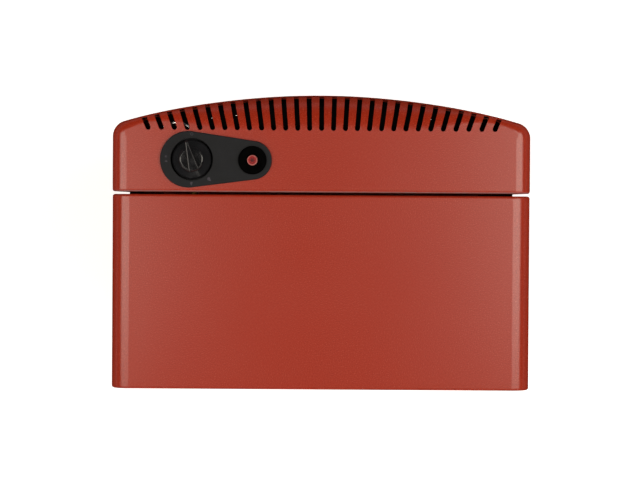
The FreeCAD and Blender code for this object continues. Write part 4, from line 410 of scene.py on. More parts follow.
@dataclass(frozen=True)
class FiredCeramic(Finish):
    """Pressed and fired ceramic: dry, cream, scorched in soft patches by the flame."""

    label: str = "fired_ceramic_pressed"
    colour: str = "e9dcc4"
    scorched: str = "b4906a"
    scorch_mm: float = 34.0
    scorch_levels: Pair = (0.40, 0.80)
    grain_mm: float = 0.9
    grain_depth_mm: float = 0.05
    grain_strength: float = 0.5
    rough: float = 0.92

    def sockets(self, tree: NodeTree, place: NodeSocket) -> dict[str, Any]:
        """Draw the scorched patches and the dry grain.

        Args:
            tree: the material's node tree.
            place: object coordinates in metres.

        Returns:
            What goes into each of the shader's sockets.
        """
        patches = add_node(tree, "ShaderNodeTexNoise", {
            "Vector": place, "Scale": 1 / (self.scorch_mm * MM), "Detail": 4.0})
        colour = add_node(tree, "ShaderNodeValToRGB", {"Fac": patches.outputs["Fac"]},
                          zip(self.scorch_levels, (self.colour, self.scorched)))
        grain = add_node(tree, "ShaderNodeTexNoise", {
            "Vector": place, "Scale": 1 / (self.grain_mm * MM), "Detail": 3.0})
        grained = add_node(tree, "ShaderNodeBump", {
            "Height": grain.outputs["Fac"], "Strength": self.grain_strength,
            "Distance": self.grain_depth_mm * MM})
        return {"Base Color": colour.outputs["Color"], "Roughness": self.rough,
                "Normal": grained.outputs["Normal"]}


@dataclass(frozen=True)
class RimHighlightRed(Finish):
    """Moulded red button with a painted highlight on its rim, ring by ring from its middle."""

    label: str = "red_nylon_moulded"
    colour: str = "8e1a1c"
    # Pale colour of the painted highlight on the button's rounded rim
    rim: str = "cc8a82"
    middle: Triple = (0.069, -0.0814, 0.728)
    # Distances from the middle where the painted highlight on the rim starts and where it is
    # brightest
    rim_highlight_span: Pair = (0.0037, 0.0048)
    grain_mm: float = 0.7
    grain_depth_mm: float = 0.02
    grain_strength: float = 0.3
    rough: float = 0.42
    ior: float = 1.3

    def sockets(self, tree: NodeTree, place: NodeSocket) -> dict[str, Any]:
        """Paint the highlight on the button's rim by how far a point is from its middle.

        Args:
            tree: the material's node tree.
            place: object coordinates in metres.

        Returns:
            What goes into each of the shader's sockets.
        """
        away = add_node(tree, "ShaderNodeVectorMath", {0: place, 1: self.middle},
                        operation="DISTANCE")
        ring = add_node(tree, "ShaderNodeMapRange", {
            "Value": away.outputs["Value"], "From Min": self.rim_highlight_span[0],
            "From Max": self.rim_highlight_span[1]})
        grain = add_node(tree, "ShaderNodeTexNoise", {
            "Vector": place, "Scale": 1 / (self.grain_mm * MM), "Detail": 2.0})
        share = add_node(tree, "ShaderNodeMath", {0: ring.outputs[0], 1: grain.outputs["Fac"]},
                         operation="MULTIPLY")
        # Painted highlight: the rim is mixed towards the pale colour, broken up by the grain
        colour = add_node(tree, "ShaderNodeMix", {
            MIX_FACTOR: share.outputs[0], MIX_FIRST: linear(self.colour),
            MIX_SECOND: linear(self.rim)}, data_type="RGBA")
        grained = add_node(tree, "ShaderNodeBump", {
            "Height": grain.outputs["Fac"], "Strength": self.grain_strength,
            "Distance": self.grain_depth_mm * MM})
        return {"Base Color": colour.outputs[MIX_RESULT], "Roughness": self.rough,
                "Normal": grained.outputs["Normal"], "IOR": self.ior}


@dataclass(frozen=True)
class StudioFloor(Finish):
    """Matt white sweep that the heater stands on."""

    label: str = "studio_floor_matt"
    colour: str = "f6f6f6"
    pale: str = "ffffff"
    glow: float = 0.62
    tone_mm: float = 900.0
    tone_levels: Pair = (0.3, 0.7)
    rough: float = 0.9

    def sockets(self, tree: NodeTree, place: NodeSocket) -> dict[str, Any]:
        """Keep the floor an even white with a barely uneven tone.

        Args:
            tree: the material's node tree.
            place: object coordinates in metres.

        Returns:
            What goes into each of the shader's sockets.
        """
        tone = add_node(tree, "ShaderNodeTexNoise", {
            "Vector": place, "Scale": 1 / (self.tone_mm * MM)})
        colour = add_node(tree, "ShaderNodeValToRGB", {"Fac": tone.outputs["Fac"]},
                          zip(self.tone_levels, (self.colour, self.pale)))
        return {"Base Color": colour.outputs["Color"], "Roughness": self.rough,
                "Emission Color": linear(self.pale), "Emission Strength": self.glow}


# The case's powder coat is satin brick red
CASE_PAINT = PowderCoat()
# Zinc from the dip freezes in crystals, each with its own grey and gloss
GALVANISED = Metal("galvanised_steel_dipped", "b4b8ba", "858b8f", Grain.SPANGLE,
                   grain_mm=9.0, rough=(0.32, 0.5))
# Stove black is nearly matt and goes greyer in patches where it is hottest; it is also made near
# black and almost without reflection, so it is painted shade inside the case under the slots
STOVE_BLACK_SHADE = Moulded("stove_enamel_sprayed", "080606", "14100f", grain_mm=1.4,
                      depth_mm=0.05, rough=(0.75, 0.9), patch_mm=40.0, ior=1.15)
# Aluminised sheet keeps faint upright rolling lines and browns above the flame
REFLECTOR = Metal("aluminised_steel_rolled", "dcdcd8", "b9b9b5", Grain.DRAWN, grain_mm=1.6,
                  rough=(0.16, 0.3), stretch=(1.0, 1.0, 0.04), relief_mm=0.01,
                  tint="8a6a4a", tint_heights=(0.50, 0.66))
# Plated wire is bright, and straw to brown where the burner heats it
GUARD_WIRE = Metal("nickel_plated_wire_drawn", "cfccc5", "a8a49c", Grain.DRAWN, grain_mm=1.2,
                   rough=(0.36, 0.5), stretch=(1.0, 1.0, 0.1), relief_mm=0.01,
                   tint="8f6a44", tint_heights=(0.40, 0.62))
# The frame round the plaques scales and browns most of all
BURNER_FRAME = Metal("galvanised_steel_heat_tinted", "b0aca4", "7c7a78", Grain.SPANGLE,
                     grain_mm=8.0, rough=(0.36, 0.6), tint="6a4a34", tint_heights=(0.42, 0.56))
# Small steel fixings are tumbled bright and glint
BRIGHT_STEEL = Metal("spring_steel_tumbled", "f2f2f0", "d8d8d6", Grain.CLOUDED,
                     grain_mm=3.0, rough=(0.12, 0.2))
# Turned brass is warm and bright with darker, touched patches
BRASS = Metal("brass_turned", "d0a85c", "a07c3c", Grain.CLOUDED, grain_mm=3.0, rough=(0.2, 0.36))
# The nozzle has been handled and has gone brown
DULL_BRASS = Metal("brass_turned_tarnished", "8d7444", "4d3d22", Grain.CLOUDED,
                   grain_mm=3.0, rough=(0.36, 0.55))
# Drawn aluminium tube has fine long lines
TUBE = Metal("aluminium_tube_drawn", "cdd0d2", "a6aaad", Grain.DRAWN, grain_mm=1.0,
             rough=(0.24, 0.4), stretch=(1.0, 1.0, 0.1))
# Copper darkens in patches as it oxidises
COPPER = Metal("copper_tube_drawn", "c07a56", "7b4934", Grain.CLOUDED,
               grain_mm=6.0, rough=(0.26, 0.45))
# Zinc plating on turned steel is pale with a faint yellow cloud
PLATED_STEEL = Metal("steel_zinc_plated", "c6c8c8", "a79f8c", Grain.CLOUDED,
                     grain_mm=4.0, rough=(0.24, 0.4))
# The control plate has a spark-eroded tool grain, so it is even and barely shiny
PLATE_ABS = Moulded("abs_grey_spark_grained", "17181b", "1d1e22", grain_mm=1.0,
                    depth_mm=0.03, rough=(0.46, 0.56), ior=1.25)
# The knob is polished in the tool, so its rims catch the light and its flat tops stay dark
KNOB_ABS = Moulded("abs_black_polished", "141416", "1d1d20", grain_mm=1.4,
                   depth_mm=0.002, rough=(0.07, 0.13), patch_mm=8.0, ior=1.42)
# The igniter's bezel and the seam's strips are dead matt and swallow the light: their near-black
# colour is painted shade, for a dark recess round the button and the dark gap of the seam
MATT_BLACK_SHADE = Moulded("nylon_black_matt", "030303", "060606", grain_mm=0.9,
                      depth_mm=0.03, rough=(0.7, 0.85), patch_mm=8.0, ior=1.07)
# Other black plastics have a plain satin skin
BLACK_ABS = Moulded("abs_black_moulded", "0c0c0d", "171718", grain_mm=0.9,
                    depth_mm=0.015, rough=(0.3, 0.42))
# Nylon treads are duller and scuffed grey
TREAD = Moulded("nylon_tread_moulded", "1b1b1c", "4a4947", grain_mm=1.2,
                depth_mm=0.04, rough=(0.5, 0.68), patch_mm=9.0, ior=1.53)
# Silicone rubber is matt and dusty
SILICONE = Moulded("silicone_rubber_extruded", "a2402e", "b4624f", grain_mm=1.0,
                   depth_mm=0.02, rough=(0.55, 0.7))
# Ceramic felt is white and fibrous
FIBRE = Moulded("ceramic_felt_pressed", "e3e0d6", "f1efe8", grain_mm=1.1,
                depth_mm=0.2, rough=(0.9, 1.0), patch_mm=5.0)
# Pad print is thin, so the grain of the plate breaks it up
DIAL_INK = Moulded("dial_ink_pad_printed", "35323a", "4a464e", grain_mm=0.8,
                   depth_mm=0.01, rough=(0.5, 0.6), patch_mm=1.6, ior=1.3)
# The igniter's mark is a dull dark red
BUTTON_INK = Moulded("button_ink_pad_printed", "4a0d10", "6a1c1f", grain_mm=0.8,
                     depth_mm=0.01, rough=(0.5, 0.6), patch_mm=1.6, ior=1.3)
# Plaques are cream and dry, browner where the flame has played
PLAQUE = FiredCeramic()
# The button is the one bright dot on the plate, deep red inside a painted highlight on its rim
BUTTON_RED = RimHighlightRed()
# The floor is white enough to leave only the heater and its soft shadow
FLOOR = StudioFloor()


def coat(finish: Finish, *nodes: str) -> None:
    """Give the objects of some CAD nodes one finish in every material slot.

    Args:
        finish: the finish.
        nodes: names of the nodes.
    """
    for node in nodes:
        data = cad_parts[node].data
        data.materials.clear()
        data.materials.append(finish.material())
        log.info("node %s: %s", node, finish.label)


def add_object(name: str, data: bpy.types.ID) -> bpy.types.Object:
    """Put an object of some data into the scene.

    Args:
        name: the object's name.
        data: its mesh, lamp or camera.

    Returns:
        The new object.
    """
    made = bpy.data.objects.new(name, data)
    bpy.context.scene.collection.objects.link(made)
    return made


def finish_piece(mesh: BMesh, name: str, body: str, finish: Finish,
                 replaced: Sequence[str] = ()) -> None:
    """Make an object of a finished mesh, coat it and let it ride on a body.

    Args:
        mesh: the finished mesh, which is freed.
        name: the piece's name.
        body: CAD body that carries the piece.
        finish: its finish.
        replaced: CAD nodes that the piece stands for.
    """
    data = bpy.data.meshes.new(name)
    mesh.to_mesh(data)
    mesh.free()
    data.shade_smooth()
    data.set_sharp_from_angle(angle=math.radians(CREASE))
    data.materials.append(finish.material())
    made = add_object(name, data)
    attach(made, body)
    if replaced:
        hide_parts(*replaced)
    log.info("piece %s on %s: %d faces", name, body, len(data.polygons))


def only(items: Sequence[Any], kind: type) -> list[Any]:
    """Return the items of one kind from what an operator made."""
    return [item for item in items if isinstance(item, kind)]


def edges_at(verts: Sequence[BMVert]) -> list[BMEdge]:
    """Return the edges that end at some vertices."""
    return list({edge for vert in verts for edge in vert.link_edges})


def stamp(target: BMesh, shape: BMesh, matrix: Matrix) -> None:
    """Put a copy of a finished shape into a mesh.

    Args:
        target: mesh that gets the copy.
        shape: the shape, modelled about its own origin.
        matrix: where the copy goes.
    """
    data = bpy.data.meshes.new("stamp")
    shape.to_mesh(data)
    data.transform(matrix)
    target.from_mesh(data)
    bpy.data.meshes.remove(data)


def turned(profile: Sequence[Pair], steps: int, out: float = 1.0, up: float = 1.0) -> BMesh:
    """Turn a half section round the Z axis.

    Args:
        profile: radius and height of each corner.
        steps: faces round the shape.
        out: what the radii are shares of, in metres.
        up: what the heights are shares of, in metres.

    Returns:
        The turned shape.
    """
    mesh = bmesh.new()
    line = [mesh.verts.new((radius * out, 0.0, height * up)) for radius, height in profile]
    edges = [mesh.edges.new(pair) for pair in zip(line, line[1:])]
    bmesh.ops.spin(mesh, geom=line + edges, cent=(0, 0, 0), axis=(0, 0, 1), angle=math.tau,
                   steps=steps, use_merge=True)
    bmesh.ops.remove_doubles(mesh, verts=mesh.verts, dist=MERGE)
    bmesh.ops.recalc_face_normals(mesh, faces=mesh.faces)
    return mesh


def grow_ring(mesh: BMesh, edges: Sequence[BMEdge], scale: float, rise: float) -> list[BMEdge]:
    """Extrude a ring of edges about the Z axis, wider or narrower and higher or lower.

    Args:
        mesh: the mesh.
        edges: the ring.
        scale: new radius as a share of the old one.
        rise: new height less the old one.

    Returns:
        The new ring.
    """
    grown = bmesh.ops.extrude_edge_only(mesh, edges=list(edges))["geom"]
    verts = only(grown, BMVert)
    bmesh.ops.scale(mesh, vec=(scale, scale, 1.0), verts=verts)
    bmesh.ops.translate(mesh, vec=(0, 0, rise), verts=verts)
    return only(grown, BMEdge)


def raised(mesh: BMesh, rise: float) -> BMesh:
    """Give a flat shape some thickness.

    Args:
        mesh: the flat shape.
        rise: its thickness.

    Returns:
        The same mesh.
    """
    top = bmesh.ops.extrude_face_region(mesh, geom=list(mesh.faces), use_keep_orig=True)["geom"]
    bmesh.ops.translate(mesh, vec=(0, 0, rise), verts=only(top, BMVert))
    bmesh.ops.recalc_face_normals(mesh, faces=mesh.faces)
    return mesh


def flat_ring(radius: float, width: float, sides: int) -> BMesh:
    """Draw a flat ring about the origin.

    Args:
        radius: from the middle to an outer corner.
        width: of the band.
        sides: how many sides it has.

    Returns:
        The flat ring.
    """
    mesh = bmesh.new()
    bmesh.ops.create_circle(mesh, cap_ends=True, segments=sides, radius=radius)
    middle = list(mesh.faces)
    bmesh.ops.inset_individual(mesh, faces=middle, thickness=width)
    bmesh.ops.delete(mesh, geom=middle, context="FACES_ONLY")
    return mesh


def axis_place(point: Sequence[float], way: Vector) -> Matrix:
    """Return the place of a shape whose own Z points a given way.

    Args:
        point: where the shape's origin goes.
        way: where its Z points.

    Returns:
        The matrix.
    """
    return Matrix.Translation(Vector(point)) @ way.to_track_quat("Z", "Y").to_matrix().to_4x4()


@dataclass
class Case:
    """Sheet metal cabinet, the pan head screws in its sides, and what glints on its baffle."""

    half_width: float = 0.210
    head_radius: float = 3.6 * MM
    head_rise: float = 2.0 * MM
    head_sides: int = 24
    # Rounded edge of a head from its flat top down: inwards and upwards, as shares of the rise
    head_edge: tuple[Pair, ...] = ((0.45, 1.0), (0.18, 0.82), (0.0, 0.45), (0.0, 0.0))
    shank_radius: float = 1.75 * MM
    shank_length: float = 7.0 * MM
    recess_length: float = 4.0 * MM
    recess_width: float = 1.0 * MM
    recess_depth: float = 1.1 * MM
    recess_draft: float = 1.12
    # Depth and height of each screw on a side
    screws: tuple[Pair, ...] = (
        (-0.061, 0.400), (-0.061, 0.630), (-0.088, 0.070), (-0.007, 0.070), (0.113, 0.070))
    # Degrees between the stops of one screw and the next, and between the two sides
    stop_step: int = 23
    stop_offset: int = 11
    baffle_top: float = 0.640
    rivet_radius: float = 1.7 * MM
    rivet_sides: int = 16
    # Half section of a rivet's head, as shares of its radius
    rivet_section: tuple[Pair, ...] = ((0.0, 0.5), (0.5, 0.42), (0.85, 0.2), (1.0, 0.0))
    rivet_places: tuple[Pair, ...] = ((-0.1123, -0.126), (0.1123, -0.126), (0.0883, -0.1289))
    clip_middle: Pair = (0.1436, -0.0996)
    clip_radius: float = 19.5 * MM
    clip_rise: float = 62.0 * MM
    clip_sink: float = 1.6 * MM
    # Degrees that the clip's bow reaches to each side, and that the clip leans
    clip_reach: float = 38.0
    clip_lean: float = 2.0
    wire_radius: float = 1.5 * MM
    # The flat wire's thickness as a share of its width
    wire_flat: float = 0.3
    wire_sides: int = 12
    wire_bend: float = 3.0 * MM
    bend_steps: int = 6
    bow_steps: int = 16

    def dress(self) -> None:
        """Paint the sheets of the case and coat what is fixed inside it."""
        coat(CASE_PAINT, "top_cover", "front_shell", "rear_hood", "rear_panel", "base_tray")
        # Stove black on the partition is partly painted shade for the case's dark inside
        coat(STOVE_BLACK_SHADE, "partition")
        coat(GALVANISED, "panel_clips")
        # The seam's strips are dark sheets of painted shade under the seam's gap
        coat(MATT_BLACK_SHADE, "seam_strips")
        coat(PLATED_STEEL, "case_screws")

    def screw(self) -> BMesh:
        """Model a screw with a cross recess, from the recess's floor out to the shank.

        Returns:
            The screw along Z, with the sheet at zero.
        """
        mesh = bmesh.new()
        bmesh.ops.create_grid(mesh, x_segments=3, y_segments=3, size=1.0)
        middle = self.recess_width / 2
        # Inner lines of the grid go to the edges of the recess's arms, outer ones to their ends
        for vert in mesh.verts:
            for axis in (0, 1):
                reach = middle if abs(vert.co[axis]) < 0.5 else self.recess_length / 2
                vert.co[axis] = math.copysign(reach, vert.co[axis])
            vert.co.z = self.head_rise - self.recess_depth
        corners = [face for face in mesh.faces
                   if all(abs(face.calc_center_median()[axis]) > middle for axis in (0, 1))]
        bmesh.ops.delete(mesh, geom=corners, context="FACES")
        rim = [edge for edge in mesh.edges if edge.is_boundary]
        rim = grow_ring(mesh, rim, self.recess_draft, self.recess_depth)
        section = [(self.head_radius - self.head_rise * inward, self.head_rise * upward)
                   for inward, upward in self.head_edge]
        section += [(self.shank_radius, 0.0), (self.shank_radius, -self.shank_length)]
        radius, height = section[0]
        top = bmesh.ops.create_circle(mesh, segments=self.head_sides, radius=radius,
                                      matrix=Matrix.Translation((0, 0, height)))["verts"]
        ring = edges_at(top)
        bmesh.ops.bridge_loops(mesh, edges=rim + ring)
        for new_radius, new_height in section[1:]:
            ring = grow_ring(mesh, ring, new_radius / radius, new_height - height)
            radius = new_radius
            height = new_height
        bmesh.ops.edgeloop_fill(mesh, edges=ring)
        bmesh.ops.recalc_face_normals(mesh, faces=mesh.faces)
        return mesh

    def baffle_rivets(self) -> None:
        """Set the baffle's bright rivets, which glint through the slots."""
        mesh = bmesh.new()
        rivet = turned(self.rivet_section, self.rivet_sides, self.rivet_radius, self.rivet_radius)
        for across, depth in self.rivet_places:
            stamp(mesh, rivet, Matrix.Translation((across, depth, self.baffle_top)))
        rivet.free()
        finish_piece(mesh, "baffle_rivets", "cabinet", BRIGHT_STEEL)

    def wire_clip(self) -> None:
        """Bend a bright flat wire on the baffle: up from one foot, round a bow and down again."""
        mesh = bmesh.new()
        reach = math.radians(self.clip_reach)
        up = Vector((0, 0, 1))
        setting_out = Vector((math.cos(reach), -math.sin(reach), 0))
        coming_in = Vector((math.cos(reach), math.sin(reach), 0))
        near = setting_out.cross(up) * self.clip_radius
        far = coming_in.cross(up) * self.clip_radius
        foot = near - setting_out * self.wire_bend
        leg = up * self.clip_rise
        start = (Matrix.Translation(foot) @ Matrix.Rotation(-reach, 4, "Z")
                 @ Matrix.Diagonal((self.wire_flat, 1.0, 1.0, 1.0)))
        ring = bmesh.ops.create_circle(mesh, cap_ends=True, segments=self.wire_sides,
                                       radius=self.wire_radius, matrix=start)["verts"]
        wire = bmesh.ops.extrude_edge_only(mesh, edges=edges_at(ring))["geom"]
        bmesh.ops.translate(mesh, vec=leg, verts=only(wire, BMVert))
        wire = [item for item in wire if not isinstance(item, BMFace)]
        quarter = math.pi / 2
        bends = ((near + leg, up.cross(setting_out), quarter, self.bend_steps),
                 (Vector(), up, 2 * reach, self.bow_steps),
                 (far + leg, up.cross(coming_in), quarter, self.bend_steps))
        for centre, axis, angle, steps in bends:
            wire = bmesh.ops.spin(mesh, geom=wire, cent=centre, axis=axis, angle=angle,
                                  steps=steps)["geom_last"]
        wire = bmesh.ops.extrude_edge_only(mesh, edges=only(wire, BMEdge))["geom"]
        bmesh.ops.translate(mesh, vec=-leg, verts=only(wire, BMVert))
        bmesh.ops.edgeloop_fill(mesh, edges=only(wire, BMEdge))
        bmesh.ops.recalc_face_normals(mesh, faces=mesh.faces)
        lean = Matrix.Rotation(math.radians(self.clip_lean), 4, "Y")
        place = Matrix.Translation((*self.clip_middle, self.baffle_top - self.clip_sink)) @ lean
        bmesh.ops.transform(mesh, matrix=place, verts=mesh.verts)
        finish_piece(mesh, "baffle_wire_clip", "cabinet", BRIGHT_STEEL)

    def build(self) -> None:
        """Set the screws of both sides, each stopped at its own angle, and dress the baffle."""
        mesh = bmesh.new()
        screw = self.screw()
        for number, (depth, height) in enumerate(self.screws):
            for side, offset in ((1, self.stop_offset), (-1, 0)):
                stopped = Matrix.Rotation(math.radians(self.stop_step * number + offset), 4, "Z")
                place = axis_place((self.half_width * side, depth, height), ACROSS * side)
                stamp(mesh, screw, place @ stopped)
        screw.free()
        finish_piece(mesh, "case_screw_heads", "cabinet", PLATED_STEEL, ("case_screws",))
        self.baffle_rivets()
        self.wire_clip()


@dataclass
class Controls:
    """Control plate with its dial marks, the turning knob and the igniter."""

    dial_middle: Triple = (0.1297, -0.082, 0.723)
    # Degrees from the front the way the knob opens, and mm from the middle, of each mark
    mark_angles: tuple[float, ...] = (0.0, 84.0, 95.0, 180.0, 222.0)
    mark_radii: tuple[float, ...] = (25.3, 25.9, 25.9, 24.5, 26.8)
    ink: float = 0.06 * MM
    ring_radius: float = 1.5 * MM
    ring_width: float = 0.5 * MM
    ring_sides: int = 20
    spark_radius: float = 1.7 * MM
    spark_points: int = 6
    spark_waist: float = 0.42
    flame_sizes: Triple = (1.5 * MM, 1.9 * MM, 2.6 * MM)
    flame_sides: int = 18
    flame_width: float = 0.78
    flame_taper: float = 1.6
    flame_bend: float = 0.16
    button_top: Triple = (0.069, -0.0814, 0.7284)
    button_radius: float = 5.2 * MM
    button_side: float = 0.8 * MM
    button_dish: float = 0.5 * MM
    dish_radius: float = 3.5 * MM
    # Radius and height of the corners of the button's rounded rim, in mm
    button_rim: tuple[Pair, ...] = ((3.8, -0.1), (4.1, 0.0), (4.5, 0.0), (5.0, -0.25))
    button_sides: int = 36
    button_spark: float = 3.3 * MM

    def dress(self) -> None:
        """Coat the plate, the knob and what hangs below them."""
        coat(PLATE_ABS, "control_plate")
        coat(KNOB_ABS, "control_knob")
        # The bezel is black nylon, darkened further as painted shade of a recess round the button
        coat(MATT_BLACK_SHADE, "igniter_bezel")
        coat(BLACK_ABS, "igniter_body", "igniter_nut")
        coat(BUTTON_RED, "igniter_button")
        coat(PLATED_STEEL, "valve_spindle")

    def spark(self, radius: float) -> BMesh:
        """Draw a spark, the mark for lighting.

        Args:
            radius: from its middle to a point.

        Returns:
            The flat mark.
        """
        mesh = bmesh.new()
        verts = bmesh.ops.create_circle(mesh, cap_ends=True, segments=2 * self.spark_points,
                                        radius=radius)["verts"]
        bmesh.ops.scale(mesh, vec=(self.spark_waist, self.spark_waist, 1.0), verts=verts[::2])
        return mesh

    def flame(self, size: float) -> BMesh:
        """Draw a flame, round below and drawn out to a point above.

        Args:
            size: half its height.

        Returns:
            The flat mark.
        """
        mesh = bmesh.new()
        bmesh.ops.create_circle(mesh, cap_ends=True, segments=self.flame_sides, radius=size)
        for vert in mesh.verts:
            up = max(0.0, (vert.co.y / size + 1) / 2)
            vert.co.x *= self.flame_width * (1 - up ** self.flame_taper)
            vert.co.x += self.flame_bend * size * math.sin(up * math.pi)
        return mesh

    def marks(self) -> None:
        """Print the stops on the plate: shut, pilot, low and full flame."""
        prints = (flat_ring(self.ring_radius, self.ring_width, self.ring_sides),
                  self.spark(self.spark_radius), *(self.flame(size) for size in self.flame_sizes))
        mesh = bmesh.new()
        for shape, degrees, radius in zip(prints, self.mark_angles, self.mark_radii):
            turn = Matrix.Rotation(math.pi + math.radians(degrees), 4, "Z")
            outwards = turn @ Matrix.Translation((0, radius * MM, 0))
            stamp(mesh, raised(shape, self.ink), Matrix.Translation(self.dial_middle) @ outwards)
            shape.free()
        finish_piece(mesh, "dial_marks", "cabinet", DIAL_INK)

    def button(self) -> None:
        """Turn the igniter's dished button and print a spark in its dish."""
        top = Vector(self.button_top)
        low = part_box("igniter_button")[0].z - top.z
        radius = self.button_radius
        section = ((0.0, -self.button_dish), (self.dish_radius, -self.button_dish),
                   *((out * MM, up * MM) for out, up in self.button_rim),
                   (radius, -self.button_side), (radius, low), (0.0, low))
        body = turned(section, self.button_sides)
        bmesh.ops.translate(body, vec=top, verts=body.verts)
        finish_piece(body, "igniter_button_dished", "button", BUTTON_RED,
                     ("igniter_button",))
        spark = raised(self.spark(self.button_spark), self.ink)
        bmesh.ops.translate(spark, vec=top - Vector((0, 0, self.button_dish)), verts=spark.verts)
        finish_piece(spark, "igniter_spark_mark", "button", BUTTON_INK)

    def build(self) -> None:
        """Make the marks and the button."""
        self.marks()
        self.button()


@dataclass
class Burner:
    """Three plaques in their frame, the reflector round them and the guard in front."""

    sides: tuple[str, ...] = ("left", "centre", "right")
    pitch: float = 3.2 * MM
    # Size of a port's countersink, its land and its wall's slope, as shares of the pitch
    hole_share: float = 0.29
    hole_land: float = 0.17
    hole_wall: float = 0.06
    hole_corners: int = 8
    hole_depth: float = 3.0 * MM
    rivet_radius: float = 2.3 * MM
    rivet_rise: float = 1.1 * MM
    rivet_sides: int = 16
    # Half section of a rivet's head, as shares of its radius and its rise
    rivet_section: tuple[Pair, ...] = ((0.0, 1.0), (0.45, 0.9), (0.8, 0.6), (1.0, 0.0))
    frame_front: float = -0.104
    rivet_across: tuple[float, ...] = (-0.1515, -0.05, 0.05, 0.1515)
    rivet_heights: Pair = (0.4235, 0.5765)

    def dress(self) -> None:
        """Coat the burner, its gas parts, the reflector, the flue and the guard."""
        for side in self.sides:
            coat(PLAQUE, f"plaque_{side}")
            coat(GALVANISED, f"burner_box_{side}")
            coat(TUBE, f"gas_tube_{side}")
        coat(GALVANISED, "burner_brackets", "injector_bar", "tap_bracket")
        coat(BRASS, "injectors", "tap_body", "tap_plug", "tap_nut")
        coat(PLATED_STEEL, "pilot_burner", "thermocouple", "spark_electrode")
        coat(BURNER_FRAME, "burner_frame")
        coat(FIBRE, "plaque_gaskets")
        coat(REFLECTOR, "reflector")
        # Stove black on the flue deflector and its baffle is partly painted shade, seen through the
        # slots
        coat(STOVE_BLACK_SHADE, "flue_deflector")
        coat(GUARD_WIRE, "wire_guard")
        coat(SILICONE, "ignition_lead")
        coat(COPPER, "thermocouple_lead")

    def plaque(self, side: str) -> None:
        """Make one plaque with rows of blind flame ports in its face.

        Args:
            side: "left", "centre" or "right".
        """
        node = f"plaque_{side}"
        low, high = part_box(node)
        size = high - low
        mesh = bmesh.new()
        columns = round(size.x / self.pitch)
        rows = round(size.z / self.pitch)
        bmesh.ops.create_grid(mesh, x_segments=columns, y_segments=rows, size=0.5)
        bmesh.ops.scale(mesh, vec=(size.x, size.z, 1.0), verts=mesh.verts)
        inner = [vert for vert in mesh.verts if not vert.is_boundary]
        bmesh.ops.bevel(mesh, geom=inner, offset=self.pitch * self.hole_share, affect="VERTICES",
                        segments=1, profile=BEVEL_PROFILE, material=-1)
        ports = [face for face in mesh.faces if len(face.verts) == self.hole_corners]
        bmesh.ops.inset_individual(mesh, faces=ports, thickness=self.pitch * self.hole_land)
        bmesh.ops.inset_individual(mesh, faces=ports, thickness=self.pitch * self.hole_wall,
                                   depth=-self.hole_depth)
        rim = [edge for edge in mesh.edges if edge.is_boundary]
        walls = bmesh.ops.extrude_edge_only(mesh, edges=rim)["geom"]
        bmesh.ops.translate(mesh, vec=(0, 0, -size.y), verts=only(walls, BMVert))
        bmesh.ops.edgeloop_fill(mesh, edges=only(walls, BMEdge))
        bmesh.ops.recalc_face_normals(mesh, faces=mesh.faces)
        middle = (low + high) / 2
        upright = Matrix.Rotation(math.pi / 2, 4, "X")
        stand = Matrix.Translation((middle.x, low.y, middle.z)) @ upright
        bmesh.ops.transform(mesh, matrix=stand, verts=mesh.verts)
        finish_piece(mesh, f"plaque_ported_{side}", "cabinet", PLAQUE, (node,))

    def rivets(self) -> None:
        """Set round head rivets along the frame's top and bottom edges."""
        mesh = bmesh.new()
        rivet = turned(self.rivet_section, self.rivet_sides, self.rivet_radius, self.rivet_rise)
        for across in self.rivet_across:
            for height in self.rivet_heights:
                stamp(mesh, rivet, axis_place((across, self.frame_front, height), -BACK))
        rivet.free()
        finish_piece(mesh, "burner_frame_rivets", "cabinet", PLATED_STEEL)

    def build(self) -> None:
        """Make the plaques and the rivets."""
        for side in self.sides:
            self.plaque(side)
        self.rivets()


